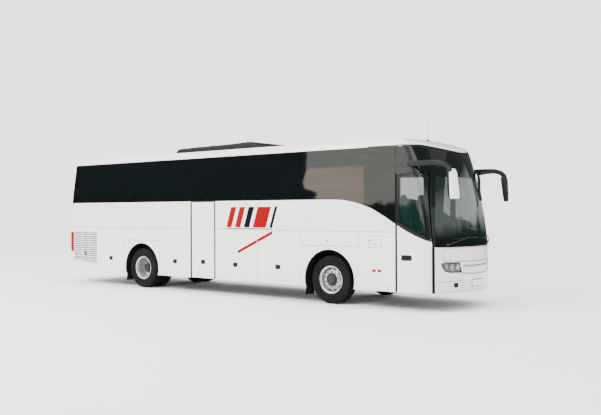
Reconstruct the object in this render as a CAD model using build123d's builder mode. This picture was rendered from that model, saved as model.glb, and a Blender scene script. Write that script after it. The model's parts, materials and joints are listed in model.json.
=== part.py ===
from build123d import *
import os
from math import sin, cos, radians, sqrt

os.makedirs("parts", exist_ok=True)

# ---------------------------------------------------------------- coach bus
# Millimetres. +X is forward, +Y is the driver's (left) side, +Z is up, and
# Z = 0 is the ground. Lengths along the coach are named from the front axle,
# which stands FA ahead of the origin.
FA = 3149.0             # front axle ahead of the middle of the whole coach
RA = -6080.0            # rear axle, from the front axle
NOSE = 2843.0           # foremost point of the front, from the front axle
TAIL = -9298.0          # rearmost point of the body, from the front axle
HALF_W = 1275.0         # half of the body's width
SKIN = 50.0             # whole thickness of a wall, door or flap
GLASS = 12.0            # thickness of the bonded glass
GAP = 8.0               # gap round every moving panel
SKIRT_Z = 360.0         # lower edge of the side skirts
SEAM_Z = 1570.0         # top of the luggage flaps
BELT_Z = 2248.0         # lower edge of the side glass
GLASS_TOP_Z = 3308.0    # upper edge of the side glass
ROOF_Z = 3525.0         # highest point of the roof skin
CROWN_R = 14000.0       # crown of the roof across the coach
DROOP_X = 1300.0        # the roof starts to droop here, from the front axle
DROOP_R = 2450.0        # radius of the droop
NOSE_R = 2080.0         # plan radius of the front
NOSE_CORNER_R = 300.0   # plan radius of the front corners
TAIL_CORNER_R = 220.0   # plan radius of the rear corners
ROOF_EDGE_R = 195.0     # radius along the roof's edge
FLOOR_Z = 1450.0        # passenger floor
HOLD_Z = 440.0          # floor of the luggage hold
DRIVER_Z = 1050.0       # driver's platform

AXLE_Z = 521.4          # wheel centre above the ground
TYRE_R = 521.4
TYRE_W = 295.0
FRONT_Y = 1075.0        # middle of a front tyre
REAR_OUT_Y = 1090.0     # middle of the outer rear tyre
REAR_IN_Y = 757.0       # middle of the inner rear tyre
KING_Y = 980.0          # kingpin
ARCH_R = 645.0          # wheel arch
TOW_Y, TOW_Z = -733.0, 520.0   # towing socket behind the front bumper
TOW_X, TOW_R = 2670.0, 16.0    # its mouth, from the front axle, and its bore

AX = Axis((FA, 0, AXLE_Z), (0, 1, 0))
RX = Axis((FA + RA, 0, AXLE_Z), (0, 1, 0))


def side(y):
    """Plane along the coach at y: its x is measured from the front axle."""
    return Plane(origin=(FA, y, 0), x_dir=(1, 0, 0), z_dir=(0, -1, 0))


def across(x):
    """Plane across the coach, x from the front axle: it draws (Y, Z)."""
    return Plane(origin=(FA + x, 0, 0), x_dir=(0, 1, 0), z_dir=(1, 0, 0))


def block(x0, x1, y0, y1, z0, z1, mode=Mode.ADD):
    """A block between two corners, x from the front axle."""
    with Locations((FA + x0, y0, z0)):
        Box(x1 - x0, y1 - y0, z1 - z0, align=(Align.MIN, Align.MIN, Align.MIN), mode=mode)


def prism(points, y0, y1):
    """A prism through the coach from y0 to y1 with a side-view outline."""
    with BuildPart() as p:
        with BuildSketch(side(y1)):
            with BuildLine():
                Polyline(*points, close=True)
            make_face()
        extrude(amount=y1 - y0)
    return p.part


def window(x0, x1, z0, z1, r, y0, y1):
    """A prism with rounded corners, for an opening in a side."""
    with BuildPart() as p:
        with BuildSketch(side(y1)):
            with Locations(((x0 + x1) / 2, (z0 + z1) / 2)):
                RectangleRounded(x1 - x0, z1 - z0, r)
        extrude(amount=y1 - y0)
    return p.part


def front_window(y0, y1, z0, z1, r, x0, x1):
    """A prism with rounded corners, for an opening in the front or rear."""
    with BuildPart() as p:
        with BuildSketch(across(x0)):
            with Locations(((y0 + y1) / 2, (z0 + z1) / 2)):
                RectangleRounded(y1 - y0, z1 - z0, r)
        extrude(amount=x1 - x0)
    return p.part


def put(builder, name):
    builder.part.label = name
    export_step(builder.part, "parts/" + name + ".step")
    print(name, round(builder.part.volume / 1e6, 2), "litres")


# ------------------------------------------------------------ body envelope
# The coach's outer skin, set in by t. A crowned roof that droops over the
# front, flat sides, a front that is part of a turned body about an upright
# axis, and a tail that leans forward.
def envelope(t, under=SKIRT_Z):
    hw = HALF_W - t
    rc = CROWN_R - t
    wide = 1500.0
    zc = ROOF_Z - t
    zw = zc - (rc - sqrt(rc * rc - wide * wide))
    zax = ROOF_Z - DROOP_R
    # front: turned about an upright axis NOSE_R behind the nose
    r = NOSE_R - t
    with BuildPart() as turned:
        with BuildSketch(side(0)):
            with BuildLine():
                Polyline((NOSE - NOSE_R, 3800), (NOSE - NOSE_R, 200), (NOSE - t, 200), (NOSE - t, 1290))
                TangentArc((NOSE - t, 1290), (NOSE - t - 600, 3800), tangent=(-0.065, 1))
                Line((NOSE - t - 600, 3800), (NOSE - NOSE_R, 3800))
            make_face()
        revolve(axis=Axis((FA + NOSE - NOSE_R, 0, 0), (0, 0, 1)), revolution_arc=360)
        block(TAIL - 400, NOSE - NOSE_R + 200, -1600, 1600, 200, 3800)

    # underside and tail, in side view
    with BuildPart() as tail:
        with BuildSketch(side(1700)):
            with BuildLine():
                if under == SKIRT_Z:
                    Polyline((NOSE + 400, 3900), (NOSE + 400, SKIRT_Z), (RA - 640, SKIRT_Z), (-7768, 385),
                             (-9110, 530), (TAIL + t, 680), (TAIL + t, 1560))
                else:
                    Polyline((NOSE + 400, 3900), (NOSE + 400, under), (TAIL + t, under), (TAIL + t, 1560))
                TangentArc((TAIL + t, 1560), (TAIL + t + 190, 3600), tangent=(0, 1))
                Line((TAIL + t + 190, 3600), (TAIL + t + 190, 3900))
                Line((TAIL + t + 190, 3900), (NOSE + 400, 3900))
            make_face()
        extrude(amount=3400)

    with BuildPart() as env:
        with BuildSketch(across(TAIL - 200)):
            with BuildLine():
                ThreePointArc((-wide, zw), (0, zc), (wide, zw))
                Polyline((wide, zw), (wide, 200), (-wide, 200), (-wide, zw))
            make_face()
        extrude(amount=DROOP_X - TAIL + 200)
        with BuildSketch(across(DROOP_X)):
            with BuildLine():
                ThreePointArc((-wide, zw), (0, zc), (wide, zw))
                Polyline((wide, zw), (wide, zax), (-wide, zax), (-wide, zw))
            make_face()
        revolve(axis=Axis((FA + DROOP_X, 0, zax), (0, 1, 0)), revolution_arc=90)
        block(DROOP_X, NOSE + 200, -wide, wide, 200, zax)
        block(TAIL - 300, NOSE + 300, -hw, hw, 100, 4000, mode=Mode.INTERSECT)
        add(turned.part, mode=Mode.INTERSECT)
        add(tail.part, mode=Mode.INTERSECT)

        upright = [e for e in env.part.edges()
                   if abs(e.center().Y) > hw - 5 and e.bounding_box().size.Z > 600]
        fillet([e for e in upright if e.center().X > FA], NOSE_CORNER_R - t)
        upright = [e for e in env.part.edges()
                   if abs(e.center().Y) > hw - 5 and e.bounding_box().size.Z > 600]
        fillet([e for e in upright if e.center().X < FA - 8000], TAIL_CORNER_R - t)
        rim = []
        for e in env.part.edges():
            b = e.bounding_box()
            if b.min.Z > 2900 and not (b.size.Y > 1.9 * hw and e.center().X < FA + DROOP_X + 60 and e.center().X > FA - 8000):
                rim.append(e)
        fillet(rim, ROOF_EDGE_R - t)
    return env.part



OUTER = envelope(0)                   # outer skin
GLAZED = envelope(GLASS, under=250)   # inside of the bonded glass
INNER = envelope(SKIN, under=250)     # inside of the walls, open below

with BuildPart() as skin:             # walls, roof and both ends, one shell
    add(OUTER)
    add(INNER, mode=Mode.SUBTRACT)
with BuildPart() as pane:             # the outer layer that is glass
    add(OUTER)
    add(GLAZED, mode=Mode.SUBTRACT)
with BuildPart() as post:             # the layer behind the glass
    add(GLAZED)
    add(INNER, mode=Mode.SUBTRACT)


# Lines in side view that part the panels. Each runs from the rear or from
# below to the front or the top, (x from the front axle, z).
DOOR_LINE = [(2464, 200), (2464, 1300), (2300, 2745), (2150, 3117), (2090, 3400)]
SCREEN_LINE = [(2494, 1275), (2490, 1420), (2390, 2604), (2271, 2946), (2182, 3117), (2130, 3400)]


def below_belt(dz, y0, y1):
    """All that is under the belt line, which sweeps down to the front door."""
    with BuildPart() as p:
        with BuildSketch(side(y1)):
            with BuildLine():
                Line((-9700, 100), (-9700, BELT_Z + dz))
                Line((-9700, BELT_Z + dz), (100, BELT_Z + dz))
                TangentArc((100, BELT_Z + dz), (1395, 1886 + dz), tangent=(1, 0))
                Line((1395, 1886 + dz), (1700, 1701 + dz))
                TangentArc((1700, 1701 + dz), (2550, 1356 + dz), tangent=(1, -0.6056))
                Polyline((2550, 1356 + dz), (2550, 100), (-9700, 100))
            make_face()
        extrude(amount=y1 - y0)
    return p.part


def below_cornice(y0, y1):
    """All that is under the roof's lower edge, which drops over the windscreen."""
    with BuildPart() as p:
        with BuildSketch(side(y1)):
            with BuildLine():
                Polyline((-9700, 100), (-9700, GLASS_TOP_Z), (1600, GLASS_TOP_Z))
                TangentArc((1600, GLASS_TOP_Z), (2480, 3170), tangent=(1, 0))
                Polyline((2480, 3170), (3300, 2900), (3300, 100), (-9700, 100))
            make_face()
        extrude(amount=y1 - y0)
    return p.part


BELOW_BELT = below_belt(0, -1500, 1500)
BELOW_CORNICE = below_cornice(-1500, 1500)
TAIL_PART = prism([(-9700, 100), (-9050, 100), (-9050, BELT_Z), (-9102, BELT_Z), (-8895, GLASS_TOP_Z), (-9700, GLASS_TOP_Z)], -1500, 1500)
NOSE_PART = prism(DOOR_LINE + [(3300, 3400), (3300, 200)], -1500, 1500)
SCREEN_PART = prism(SCREEN_LINE + [(3300, 3400), (3300, 1275)], -1500, 1500)

# The sides: (where it starts, where it ends), x from the front axle
SERVICE_FLAP = (-7802, -6801)
REAR_FLAP = (-5372, -4229)
MIDDLE_DOOR = (-4229, -3396)
MIDDLE_FLAP = (-3396, -2043)
FRONT_FLAP = (-2043, -756)
LEFT_FLAPS = [(-5372, -3860), (-3860, -2308), (-2308, -756)]
FRONT_DOOR = (1660, 2464)
FUEL_FLAP = (1001, 1326, 1240, 1481)      # x0, x1, z0, z1
PANE_JOINTS = [-6650, -4543, -2700, -738]
WINDOWS = [(-8830, -6720), (-6580, -4613), (-4473, -2770), (-2630, -808)]


def flap(x0, x1, s, z0=SKIRT_Z, z1=SEAM_Z):
    """One flap of the side s (-1 right, +1 left), a gap inside its opening."""
    y0, y1 = (-1400, -1000) if s < 0 else (1000, 1400)
    with BuildPart() as f:
        add(skin.part)
        add(prism([(x0 + GAP / 2, z0 - 200 if z0 == SKIRT_Z else z0 + GAP), (x1 - GAP / 2, z0 - 200 if z0 == SKIRT_Z else z0 + GAP),
                   (x1 - GAP / 2, z1 - GAP), (x0 + GAP / 2, z1 - GAP)], y0, y1), mode=Mode.INTERSECT)
    return f


def opening(x0, x1, s, z0, z1):
    y0, y1 = (-1400, -1000) if s < 0 else (1000, 1400)
    return prism([(x0 - GAP / 2, z0), (x1 + GAP / 2, z0), (x1 + GAP / 2, z1), (x0 - GAP / 2, z1)], y0, y1)


DOOR_SHAPE = [(FRONT_DOOR[0], 200), (FRONT_DOOR[1], 200), (FRONT_DOOR[1], 1300), (2300, 2745), (FRONT_DOOR[0], 2745)]
DOOR_LEAF = [(FRONT_DOOR[0] + 14, 370), (FRONT_DOOR[1] - 24, 370), (FRONT_DOOR[1] - 24, 1300), (2276, 2737), (FRONT_DOOR[0] + 14, 2737)]

# Each door swings out and along the coach on an arm inside the doorway:
# name, post x, crank x and y, pivot on the leaf x, top of the post
POST_Y, PIVOT_Y, BAR_Z = -1090.0, -1192.0, 560.0
ARMS = [("front_door_arm", 2350, 2100, -1060, 1865, 1250), ("middle_door_arm", -4115, -3915, -1020, -3640, 1750)]


def brackets(lx, ztop):
    """The leaf's two forks, above and below the end of each bar."""
    for z in (BAR_Z, ztop - 90):
        block(lx - 30, lx + 30, -1226, -1168, z - 15, z - 7)
        block(lx - 30, lx + 30, -1226, -1168, z + 35, z + 43)


# ------------------------------------------------------------- side walls
FRONT_OPENING = [(-668, 2330), (60, 2330), (640, 2270), (1000, 2165), (1395, 1975), (1590, 1860), (1590, 2945), (1480, 2985), (560, 3240), (-668, 3240)]
DRIVER_OPENING = [(1710, 1800), (2000, 1625), (2330, 1470), (2210, 2560), (2160, 2740), (1710, 2880)]
for s, name in ((-1, "right"), (1, "left")):
    y0, y1 = (-1400, -900) if s < 0 else (900, 1400)
    with BuildPart() as pillars:          # the layer behind the glass, with its openings
        add(post.part)
        add(BELOW_CORNICE, mode=Mode.INTERSECT)
        add(BELOW_BELT, mode=Mode.SUBTRACT)
        add(TAIL_PART, mode=Mode.SUBTRACT)
        add(NOSE_PART, mode=Mode.SUBTRACT)
        add(prism([(-9400, 1000), (3000, 1000), (3000, 3600), (-9400, 3600)], y0, y1), mode=Mode.INTERSECT)
        for x0, x1 in WINDOWS:
            add(window(x0, x1, 2330, 3240, 60, y0, y1), mode=Mode.SUBTRACT)
        add(prism(FRONT_OPENING, y0, y1), mode=Mode.SUBTRACT)
        if s > 0:
            add(prism(DRIVER_OPENING, y0, y1), mode=Mode.SUBTRACT)
    with BuildPart() as wall:             # the belt panel and the pillars above it
        add(skin.part)
        add(BELOW_BELT, mode=Mode.INTERSECT)
        add(prism([(-9050, SEAM_Z), (1900, SEAM_Z), (2464, 1300), (2464, 2400), (-9050, 2400)] if s > 0 else
                  [(-9050, SEAM_Z), (FRONT_DOOR[0], SEAM_Z), (FRONT_DOOR[0], 2400), (-9050, 2400)], y0, y1), mode=Mode.INTERSECT)
        add(NOSE_PART, mode=Mode.SUBTRACT)
        add(pillars.part)
        if s < 0:
            add(prism(DOOR_SHAPE, y0, y1), mode=Mode.SUBTRACT)
            add(opening(MIDDLE_DOOR[0], MIDDLE_DOOR[1], s, 200, BELT_Z), mode=Mode.SUBTRACT)
    put(wall, "side_wall_" + name)

    with BuildPart() as lower:            # fixed panels: rear corner and both wheels
        add(skin.part)
        end = FRONT_DOOR[0] if s < 0 else 2464
        add(prism([(-9050, 100), (end, 100), (end, SEAM_Z), (-9050, SEAM_Z)] if s < 0 else
                  [(-9050, 100), (end, 100), (end, 1300), (1900, SEAM_Z), (-9050, SEAM_Z)], y0, y1), mode=Mode.INTERSECT)
        add(BELOW_BELT, mode=Mode.INTERSECT)
        add(opening(SERVICE_FLAP[0], SERVICE_FLAP[1], s, 200, SEAM_Z), mode=Mode.SUBTRACT)
        add(opening(REAR_FLAP[0], FRONT_FLAP[1], s, 200, SEAM_Z), mode=Mode.SUBTRACT)
        for x in (0, RA):
            with BuildSketch(side(y1)):
                with Locations((x, AXLE_Z)):
                    Circle(ARCH_R)
            extrude(amount=y1 - y0, mode=Mode.SUBTRACT)
        if s < 0:
            add(prism([(FUEL_FLAP[0] - GAP / 2, FUEL_FLAP[2]), (FUEL_FLAP[1] + GAP / 2, FUEL_FLAP[2]),
                       (FUEL_FLAP[1] + GAP / 2, FUEL_FLAP[3] + GAP), (FUEL_FLAP[0] - GAP / 2, FUEL_FLAP[3] + GAP)], y0, y1), mode=Mode.SUBTRACT)
    put(lower, "lower_panels_" + name)

    with BuildPart() as glass:            # the band of bonded panes
        add(pane.part)
        add(BELOW_CORNICE, mode=Mode.INTERSECT)
        add(BELOW_BELT, mode=Mode.SUBTRACT)
        add(TAIL_PART, mode=Mode.SUBTRACT)
        add(NOSE_PART, mode=Mode.SUBTRACT)
        add(prism([(-9400, 1000), (3000, 1000), (3000, 3600), (-9400, 3600)], y0, y1), mode=Mode.INTERSECT)
        for x in PANE_JOINTS:
            add(prism([(x - 4, 2000), (x + 4, 2000), (x + 4, 3500), (x - 4, 3500)], y0, y1), mode=Mode.SUBTRACT)
        # the dark quarter panel over the door starts as a wedge
        add(prism([(532, 3400), (540, 3312), (1671, 2976), (2036, 2773), (2300, 2640), (2300, 2631), (2036, 2764), (1671, 2967),
                   (532, 3303), (524, 3400)], y0, y1), mode=Mode.SUBTRACT)
        if s < 0:
            add(prism(DOOR_SHAPE, y0, y1), mode=Mode.SUBTRACT)
    put(glass, "side_glass_" + name)

# -------------------------------------------------- roof, tail and nose
ROOF_JOINTS = [Plane((FA + 1250, 0, 0), z_dir=(1, 0, 0)), Plane((0, -360, 0), z_dir=(0, 1, 0)), Plane((0, 360, 0), z_dir=(0, 1, 0))]
with BuildPart() as roof:
    add(skin.part)
    add(BELOW_CORNICE, mode=Mode.SUBTRACT)
    for joint in ROOF_JOINTS:            # its sheets meet at these joints
        split(bisect_by=joint, keep=Keep.BOTH)
put(roof, "roof")

REAR_WINDOW = front_window(-1000, 1000, 2330, 3180, 90, TAIL - 100, TAIL + 600)
LID_OPENING = front_window(-960, 960, 700, 1800, 40, TAIL - 100, TAIL + 400)
LID_SHAPE = front_window(-952, 952, 708, 1792, 34, TAIL - 100, TAIL + 400)
with BuildPart() as tail_lamp_space:
    for y in (-1300, 1090):
        block(TAIL - 100, -9100, y, y + 210, 870, 1430)
with BuildPart() as rear_wall:
    add(skin.part)
    add(TAIL_PART, mode=Mode.INTERSECT)
    add(REAR_WINDOW, mode=Mode.SUBTRACT)
    add(LID_OPENING, mode=Mode.SUBTRACT)
    add(tail_lamp_space.part, mode=Mode.SUBTRACT)
put(rear_wall, "rear_wall")
with BuildPart() as rear_window:
    add(pane.part)
    add(REAR_WINDOW, mode=Mode.INTERSECT)
put(rear_window, "rear_window")
with BuildPart() as engine_lid:
    add(skin.part)
    add(LID_SHAPE, mode=Mode.INTERSECT)
put(engine_lid, "engine_lid")
with BuildPart() as tail_lamps:
    add(skin.part)
    add(tail_lamp_space.part, mode=Mode.INTERSECT)
put(tail_lamps, "tail_lamps")

FLAP_OPENING = (-1011, 1011, 975, 1262)         # y0, y1, z0, z1 of the service flap in the front
# the headlamp in front view, right side mirrored to the left: (y, z)
LAMP = [(575, 770), (870, 770), (980, 800), (1045, 900), (1045, 966), (640, 966)]
with BuildPart() as lamp_space:
    for s in (-1, 1):
        with BuildSketch(across(2300)):
            with BuildLine():
                Polyline(*[(s * y, z) for y, z in LAMP], close=True)
            make_face()
        extrude(amount=700)
with BuildPart() as front_panel:
    add(skin.part)
    add(prism([(2464, 600), (3300, 600), (3300, 1275), (2464, 1275)], -1500, 1500), mode=Mode.INTERSECT)
    add(front_window(FLAP_OPENING[0], FLAP_OPENING[1], FLAP_OPENING[2], FLAP_OPENING[3], 30, 2200, 3000), mode=Mode.SUBTRACT)
    add(lamp_space.part, mode=Mode.SUBTRACT)
put(front_panel, "front_panel")
with BuildPart() as front_flap:
    add(skin.part)
    add(front_window(FLAP_OPENING[0] + GAP, FLAP_OPENING[1] - GAP, FLAP_OPENING[2] + GAP, FLAP_OPENING[3] - GAP, 24, 2200, 3000), mode=Mode.INTERSECT)
put(front_flap, "front_flap")
with BuildPart() as headlamps:
    add(skin.part)
    add(lamp_space.part, mode=Mode.INTERSECT)
put(headlamps, "headlamps")
TOW_OPENING = (-783, -684, 475, 565)            # y0, y1, z0, z1 of the opening in front of the towing socket
with BuildPart() as front_bumper:
    add(skin.part)
    add(prism([(2464, 200), (3300, 200), (3300, 600), (2464, 600)], -1500, 1500), mode=Mode.INTERSECT)
    block(2500, 3000, TOW_OPENING[0], TOW_OPENING[1], TOW_OPENING[2], TOW_OPENING[3], mode=Mode.SUBTRACT)
    for y in TOW_OPENING[:2]:            # its sections meet at both sides of the opening
        split(bisect_by=Plane((0, y, 0), z_dir=(0, 1, 0)), keep=Keep.BOTH)
put(front_bumper, "front_bumper")
with BuildPart() as windscreen:
    add(pane.part)
    add(BELOW_CORNICE, mode=Mode.INTERSECT)
    add(SCREEN_PART, mode=Mode.INTERSECT)
put(windscreen, "windscreen")
with BuildPart() as front_frame:
    add(skin.part)
    add(BELOW_CORNICE, mode=Mode.INTERSECT)
    add(prism([(2464, 1275)] + DOOR_LINE[1:] + [(3300, 3400), (3300, 1275)], -1500, 1500), mode=Mode.INTERSECT)
    add(windscreen.part, mode=Mode.SUBTRACT)
    add(prism([(2560, 1345), (2556, 1440), (2462, 2604), (2440, 2690), (3300, 2690), (3300, 1345)], -1500, 1500), mode=Mode.SUBTRACT)
put(front_frame, "front_frame")

# ------------------------------------------------------- doors and flaps
with BuildPart() as door_frame:         # the frame behind the door's glass
    add(post.part)
    add(BELOW_BELT, mode=Mode.SUBTRACT)
with BuildPart() as front_door:
    add(skin.part)
    add(BELOW_BELT, mode=Mode.INTERSECT)
    add(door_frame.part)
    add(prism(DOOR_LEAF, -1400, -900), mode=Mode.INTERSECT)
    add(prism([(1745, 1790), (2000, 1640), (2200, 1545), (2375, 1482), (2240, 2655), (1745, 2655)], -1400, -900), mode=Mode.SUBTRACT)
    brackets(ARMS[0][4], ARMS[0][5])
put(front_door, "front_door")
with BuildPart() as front_door_glass:
    add(pane.part)
    add(BELOW_BELT, mode=Mode.SUBTRACT)
    add(prism(DOOR_LEAF, -1400, -900), mode=Mode.INTERSECT)
put(front_door_glass, "front_door_glass")
with BuildPart() as middle_door:
    add(skin.part)
    add(prism([(MIDDLE_DOOR[0] + 24, 370), (MIDDLE_DOOR[1] - 14, 370), (MIDDLE_DOOR[1] - 14, BELT_Z - GAP),
               (MIDDLE_DOOR[0] + 24, BELT_Z - GAP)], -1400, -1000), mode=Mode.INTERSECT)
    brackets(ARMS[1][4], ARMS[1][5])
put(middle_door, "middle_door")

# A door's arm is an upright post inside the doorway with two cranked bars that
# reach the leaf
for name, px, kx, ky, lx, ztop in ARMS:
    with BuildPart() as arm:
        with Locations((FA + px, POST_Y, 446)):
            Cylinder(22, ztop - 446, align=(Align.CENTER, Align.CENTER, Align.MIN))
        for z in (BAR_Z, ztop - 90):
            with BuildSketch(Plane(origin=(FA, 0, z))):
                with BuildLine() as path:
                    Polyline((px, POST_Y), (kx, ky), (lx, PIVOT_Y))
                trace(path.line, line_width=28)
            extrude(amount=28)
    put(arm, name)

for name, f in (("service_flap_right", flap(*SERVICE_FLAP, -1)), ("rear_luggage_flap_right", flap(*REAR_FLAP, -1)),
                ("middle_luggage_flap_right", flap(*MIDDLE_FLAP, -1)), ("front_luggage_flap_right", flap(*FRONT_FLAP, -1)),
                ("fuel_flap", flap(FUEL_FLAP[0], FUEL_FLAP[1], -1, FUEL_FLAP[2], FUEL_FLAP[3] + GAP)),
                ("service_flap_left", flap(*SERVICE_FLAP, 1)), ("rear_luggage_flap_left", flap(*LEFT_FLAPS[0], 1)),
                ("middle_luggage_flap_left", flap(*LEFT_FLAPS[1], 1)), ("front_luggage_flap_left", flap(*LEFT_FLAPS[2], 1))):
    put(f, name)

# ------------------------------------------------------------ floor and frame
STAIR = (MIDDLE_DOOR[0] - 4, MIDDLE_DOOR[1] + 4)     # the middle stairwell, x
with BuildPart() as cabin_floor:
    block(-9040, 1250, -1210, 1210, 1400, FLOOR_Z)
    block(-9236, -9040, -1000, 1000, 1400, FLOOR_Z)
    block(STAIR[0], STAIR[1], -1300, -600, 1300, 1700, mode=Mode.SUBTRACT)
put(cabin_floor, "cabin_floor")

with BuildPart() as wall_rails:          # the rails that the side walls stand on
    for s in (-1, 1):
        for ya, yb, z0, z1 in ((1150, 1210, FLOOR_Z, 1564), (1150, 1210, 1560, 1580), (1150, 1225, 1574, 1640)):
            block(-9030, 1250, min(s * ya, s * yb), max(s * ya, s * yb), z0, z1)
    block(STAIR[0], STAIR[1], -1300, -600, 1300, 1700, mode=Mode.SUBTRACT)
put(wall_rails, "wall_rails")

with BuildPart() as hold_floor:          # the hold's floor and the floor behind the front wheels
    block(-5375, -751, -1210, 1210, 400, HOLD_Z)
    block(-5415, -5370, -1225, 1225, 400, HOLD_Z)
    block(-760, -712, -1225, 1225, 400, HOLD_Z)
    block(748, 1640, -1225, 1225, 400, HOLD_Z)
put(hold_floor, "hold_floor")

# bulkheads across the coach: (x0, x1, z0, z1), and the wheel housings' inner
# walls between them: (x0, x1, nearest y, furthest y, z0, z1)
with BuildPart() as bulkheads:
    for x0, x1, z0, z1 in ((-7860, -7820, 440, 1400), (-6790, -6750, 440, 1400), (-5415, -5380, 440, 1400),
                           (-748, -712, 440, 1400), (712, 748, 400, 1400)):
        block(x0, x1, -1225, 1225, z0, z1)
    for s in (-1, 1):
        for x0, x1, ya, yb, z0, z1 in ((-6750, -5415, 560, 580, 640, 1400), (-712, 712, 500, 520, 640, 1400)):
            block(x0, x1, min(s * ya, s * yb), max(s * ya, s * yb), z0, z1)
put(bulkheads, "bulkheads")

with BuildPart() as frame_rails:         # the long rails over the axles and beside the engine
    for s in (-1, 1):
        for x0, x1, ya, yb, z0, z1 in ((-9230, -7860, 470, 560, 640, 800), (-7820, -6790, 470, 560, 640, 800),
                                       (-6750, -5415, 470, 560, 640, 800), (-712, 712, 420, 500, 640, 760)):
            block(x0, x1, min(s * ya, s * yb), max(s * ya, s * yb), z0, z1)
    block(-9248, -9180, -1000, 1000, 645, 698)                           # rear cross member
put(frame_rails, "frame_rails")

with BuildPart() as driver_platform:     # floor, steps and beams behind the nose
    block(1640, 2900, -1210, 1225, 400, 440)
    block(1250, 2620, -350, 1225, 1000, DRIVER_Z)
    block(1250, 1290, -1200, 1225, 1050, FLOOR_Z)
    block(1610, 1650, -1225, 1225, 440, 1050)
    block(1640, 1680, -350, 1225, 440, 1000)
    block(2520, 2560, -350, 1225, 440, 970)
    block(2470, 2560, -1225, 1225, 440, 570)
    block(2560, 2900, -60, 60, 440, 570)
    block(1250, 1650, -1210, -340, 1000, 1050)
    block(1650, 2440, -620, -350, 440, 650)
    block(1650, 2440, -485, -350, 650, 850)
    block(1650, 2440, -350, -310, 440, 1000)
    add(INNER, mode=Mode.INTERSECT)
    block(FRONT_DOOR[0] - 6, FRONT_DOOR[1] + 2, -1300, -1205, 300, 460, mode=Mode.SUBTRACT)
    with BuildSketch(across(2500)):                                      # towing socket
        with Locations((TOW_Y, TOW_Z)):
            Circle(34)
    extrude(amount=TOW_X - 2500)
    with BuildSketch(across(TOW_X - 120)):
        with Locations((TOW_Y, TOW_Z)):
            Circle(TOW_R)
    extrude(amount=160, mode=Mode.SUBTRACT)
put(driver_platform, "driver_platform")

with BuildPart() as middle_steps:        # the stairwell's cheeks, back and steps
    block(STAIR[0] - 30, STAIR[0], -1210, -570, 440, 1400)
    block(STAIR[1], STAIR[1] + 30, -1210, -570, 440, 1400)
    block(STAIR[0] - 30, STAIR[1] + 30, -600, -570, 440, 1400)
    for ya, z1 in ((-1000, 690), (-870, 940), (-740, 1190)):
        block(STAIR[0], STAIR[1], ya, -600, 440, z1)
put(middle_steps, "middle_steps")

with BuildPart() as engine_block:
    block(-9000, -7900, -469, 469, 560, 1330)
put(engine_block, "engine_block")

# ---------------------------------------------------------------- inside
with BuildPart() as shelf:             # the shelf under the windscreen and the console
    block(2080, 2420, -330, 1150, DRIVER_Z, 1500)
    block(2080, 2900, -330, 1150, 1275, 1345)
    block(2430, 2900, -1150, 1150, 1275, 1345)
    add(INNER, mode=Mode.INTERSECT)
with BuildPart() as dashboard:
    add(shelf.part)
    with BuildSketch(side(600)):
        with BuildLine():
            Polyline((2195, 1340), (2230, 1430), (2057, 1695), (2022, 1655), close=True)
        make_face()
    extrude(amount=100)
put(dashboard, "dashboard")

with BuildPart(Plane(origin=(FA + 2030, 550, 1690), x_dir=(0, 1, 0), z_dir=(-0.75, 0, 0.66))) as steering_wheel:
    Torus(215, 16)
    Cylinder(60, 30)
    for a in (0, 120, 240):
        with Locations(Location((0, 0, 0), (0, 0, a))):
            with Locations((110, 0, 0)):
                Box(210, 34, 14)
put(steering_wheel, "steering_wheel")

# a seat in side view: from the front of its cushion, (x, z above its floor)
SEAT = [(-40, 0), (-40, 330), (60, 350), (60, 440), (-430, 440), (-540, 1130), (-640, 1120), (-560, 330), (-380, 330), (-380, 0)]
with BuildPart() as driver_seat:
    with BuildSketch(side(800)):
        with BuildLine():
            Polyline(*[(1880 + x, DRIVER_Z + z) for x, z in SEAT], close=True)
        make_face()
    extrude(amount=500)
put(driver_seat, "driver_seat")

ROWS = [-8250 + 790 * i for i in range(12)]
with BuildPart() as passenger_seats:
    for s, y in ((-1, -328), (1, 1148)):
        with BuildSketch(side(y)):
            for x in ROWS:
                if s < 0 and MIDDLE_DOOR[0] - 80 < x < MIDDLE_DOOR[1] + 640:
                    continue
                with BuildLine():
                    Polyline(*[(x + dx, FLOOR_Z + z) for dx, z in SEAT], close=True)
                make_face()
        extrude(amount=820)
put(passenger_seats, "passenger_seats")

# ------------------------------------------------------- roof and mirrors
with BuildPart() as roof_ac_unit:
    with BuildSketch(side(850)):
        with BuildLine():
            Polyline((-5230, 3400), (-5200, 3610), (-5080, 3640), (-3300, 3665), (-2780, 3690), (-2500, 3665), (-2050, 3530), (-2000, 3400), close=True)
        make_face()
    extrude(amount=1700)
    fillet(roof_ac_unit.edges().filter_by(Axis.Y).group_by(Axis.Z)[-1], 40)
    add(OUTER, mode=Mode.SUBTRACT)
put(roof_ac_unit, "roof_ac_unit")

with BuildPart() as antenna:
    with Locations((FA + 1700, 0, 3470)):
        Cylinder(26, 45, align=(Align.CENTER, Align.CENTER, Align.MIN))
    with Locations((FA + 1700, 0, 3505)):
        Cylinder(5, 420, align=(Align.CENTER, Align.CENTER, Align.MIN))
    add(OUTER, mode=Mode.SUBTRACT)
put(antenna, "antenna")

MIRROR_ARM = [(1940, 2990), (1975, 2872), (2600, 2872), (2720, 2850), (2820, 2790), (2900, 2790), (2900, 2830), (2820, 2930), (2700, 2985), (2500, 2995)]
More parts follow.
